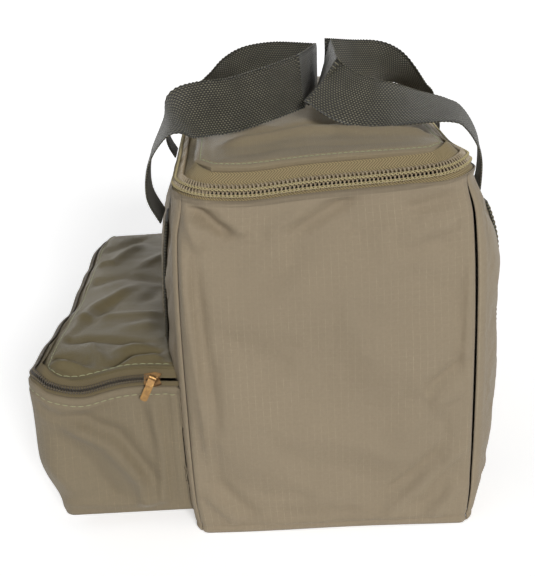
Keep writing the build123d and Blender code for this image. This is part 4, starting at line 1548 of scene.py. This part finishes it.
# ---------------------------------------------------------------- metal pieces
def wear_edges(piece):
    """Brass with small rounded edges."""
    piece.data.materials.clear()
    piece.data.materials.append(brass)
    soften = piece.modifiers.new("worn_edges", "BEVEL")
    soften.width = 0.14 * mm
    soften.segments = 2
    soften.limit_method = "ANGLE"
    soften.angle_limit = radians(35)


for name in ("main_slider", "main_puller", "pocket_slider"):
    wear_edges(frame["nodes"][name])

swing_at = Vector(hinges["pocket_puller_swing"]["pos_m"])
tag_mesh = frame["nodes"]["pocket_puller"].data.copy()
tag_tilt = radians(27)
tag_mesh.transform(Matrix.Translation(swing_at) @ Matrix.Rotation(tag_tilt, 4, "Y")
                   @ Matrix.Translation(-swing_at))
tag = bpy.data.objects.new("tilted_pocket_tag", tag_mesh)
bpy.context.scene.collection.objects.link(tag)
wear_edges(tag)
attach(tag, "pocket_puller")
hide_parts("pocket_puller")

# ---------------------------------------------------------------- floor, light and camera
floor_glow = 0.56
world_light = 0.22
white = (1, 1, 1, 1)
floor_material = bpy.data.materials.new("pale_floor")
floor_material.use_nodes = True
floor_tree = floor_material.node_tree
floor_shader = floor_tree.nodes["Principled BSDF"]
floor_shader.inputs["Base Color"].default_value = (0.95, 0.95, 0.95, 1)
floor_shader.inputs["Roughness"].default_value = 0.9
floor_shader.inputs["Emission Color"].default_value = white


def seen_share(node_tree):
    """1 for rays that show the background: camera, glossy and transmission rays."""
    rays = node_tree.nodes.new("ShaderNodeLightPath")
    total = rays.outputs["Is Camera Ray"]
    for kind in ("Is Glossy Ray", "Is Transmission Ray"):
        larger = node_tree.nodes.new("ShaderNodeMath")
        larger.operation = "MAXIMUM"
        node_tree.links.new(total, larger.inputs[0])
        node_tree.links.new(rays.outputs[kind], larger.inputs[1])
        total = larger.outputs[0]
    return total


glow = floor_tree.nodes.new("ShaderNodeMath")
glow.operation = "MULTIPLY"
glow.inputs[1].default_value = floor_glow
floor_tree.links.new(seen_share(floor_tree), glow.inputs[0])
floor_tree.links.new(glow.outputs[0], floor_shader.inputs["Emission Strength"])
bpy.ops.mesh.primitive_plane_add(size=12, location=(0, 0, -0.2 * mm))
floor = bpy.context.object
floor.name = "floor"
floor.data.materials.append(floor_material)

world = bpy.data.worlds.new("studio")
bpy.context.scene.world = world
world.use_nodes = True
tree = world.node_tree
back = tree.nodes["Background"]
back.inputs[0].default_value = white
back.inputs[1].default_value = world_light
bright = tree.nodes.new("ShaderNodeBackground")
bright.inputs[0].default_value = white
bright.inputs[1].default_value = 1.0
mixer = tree.nodes.new("ShaderNodeMixShader")
tree.links.new(seen_share(tree), mixer.inputs[0])
tree.links.new(back.outputs[0], mixer.inputs[1])
tree.links.new(bright.outputs[0], mixer.inputs[2])
tree.links.new(mixer.outputs[0], tree.nodes["World Output"].inputs["Surface"])


def sun(name, direction, strength, angle):
    """Soft distant lamp that shines along a direction."""
    lamp = bpy.data.lights.new(name, "SUN")
    lamp.energy = strength
    lamp.angle = radians(angle)
    thing = bpy.data.objects.new(name, lamp)
    thing.rotation_euler = Vector(direction).to_track_quat("-Z", "Y").to_euler()
    bpy.context.scene.collection.objects.link(thing)


sun("key", (-0.30, 1.0, -0.38), 2.05, 12)
sun("fill", (0.7, 0.6, -0.8), 0.15, 40)
sun("rear", (0.25, -1.0, -0.22), 0.5, 40)

camera_data = bpy.data.cameras.new("camera")
camera_data.sensor_width = 36
camera_data.lens = 67.15
camera = bpy.data.objects.new("camera", camera_data)
camera.location = (-47.7 * mm, -836.2 * mm, 429.7 * mm)
pitch, roll, yaw = radians(20.25), radians(-2.71), radians(-0.70)
turn = Euler((radians(90) - pitch, 0, yaw), "XYZ").to_matrix()
spin = Euler((0, 0, roll), "XYZ").to_matrix()
camera.rotation_euler = (turn @ spin).to_euler()
bpy.context.scene.collection.objects.link(camera)
bpy.context.scene.camera = camera
bpy.context.scene.view_settings.view_transform = "Standard"
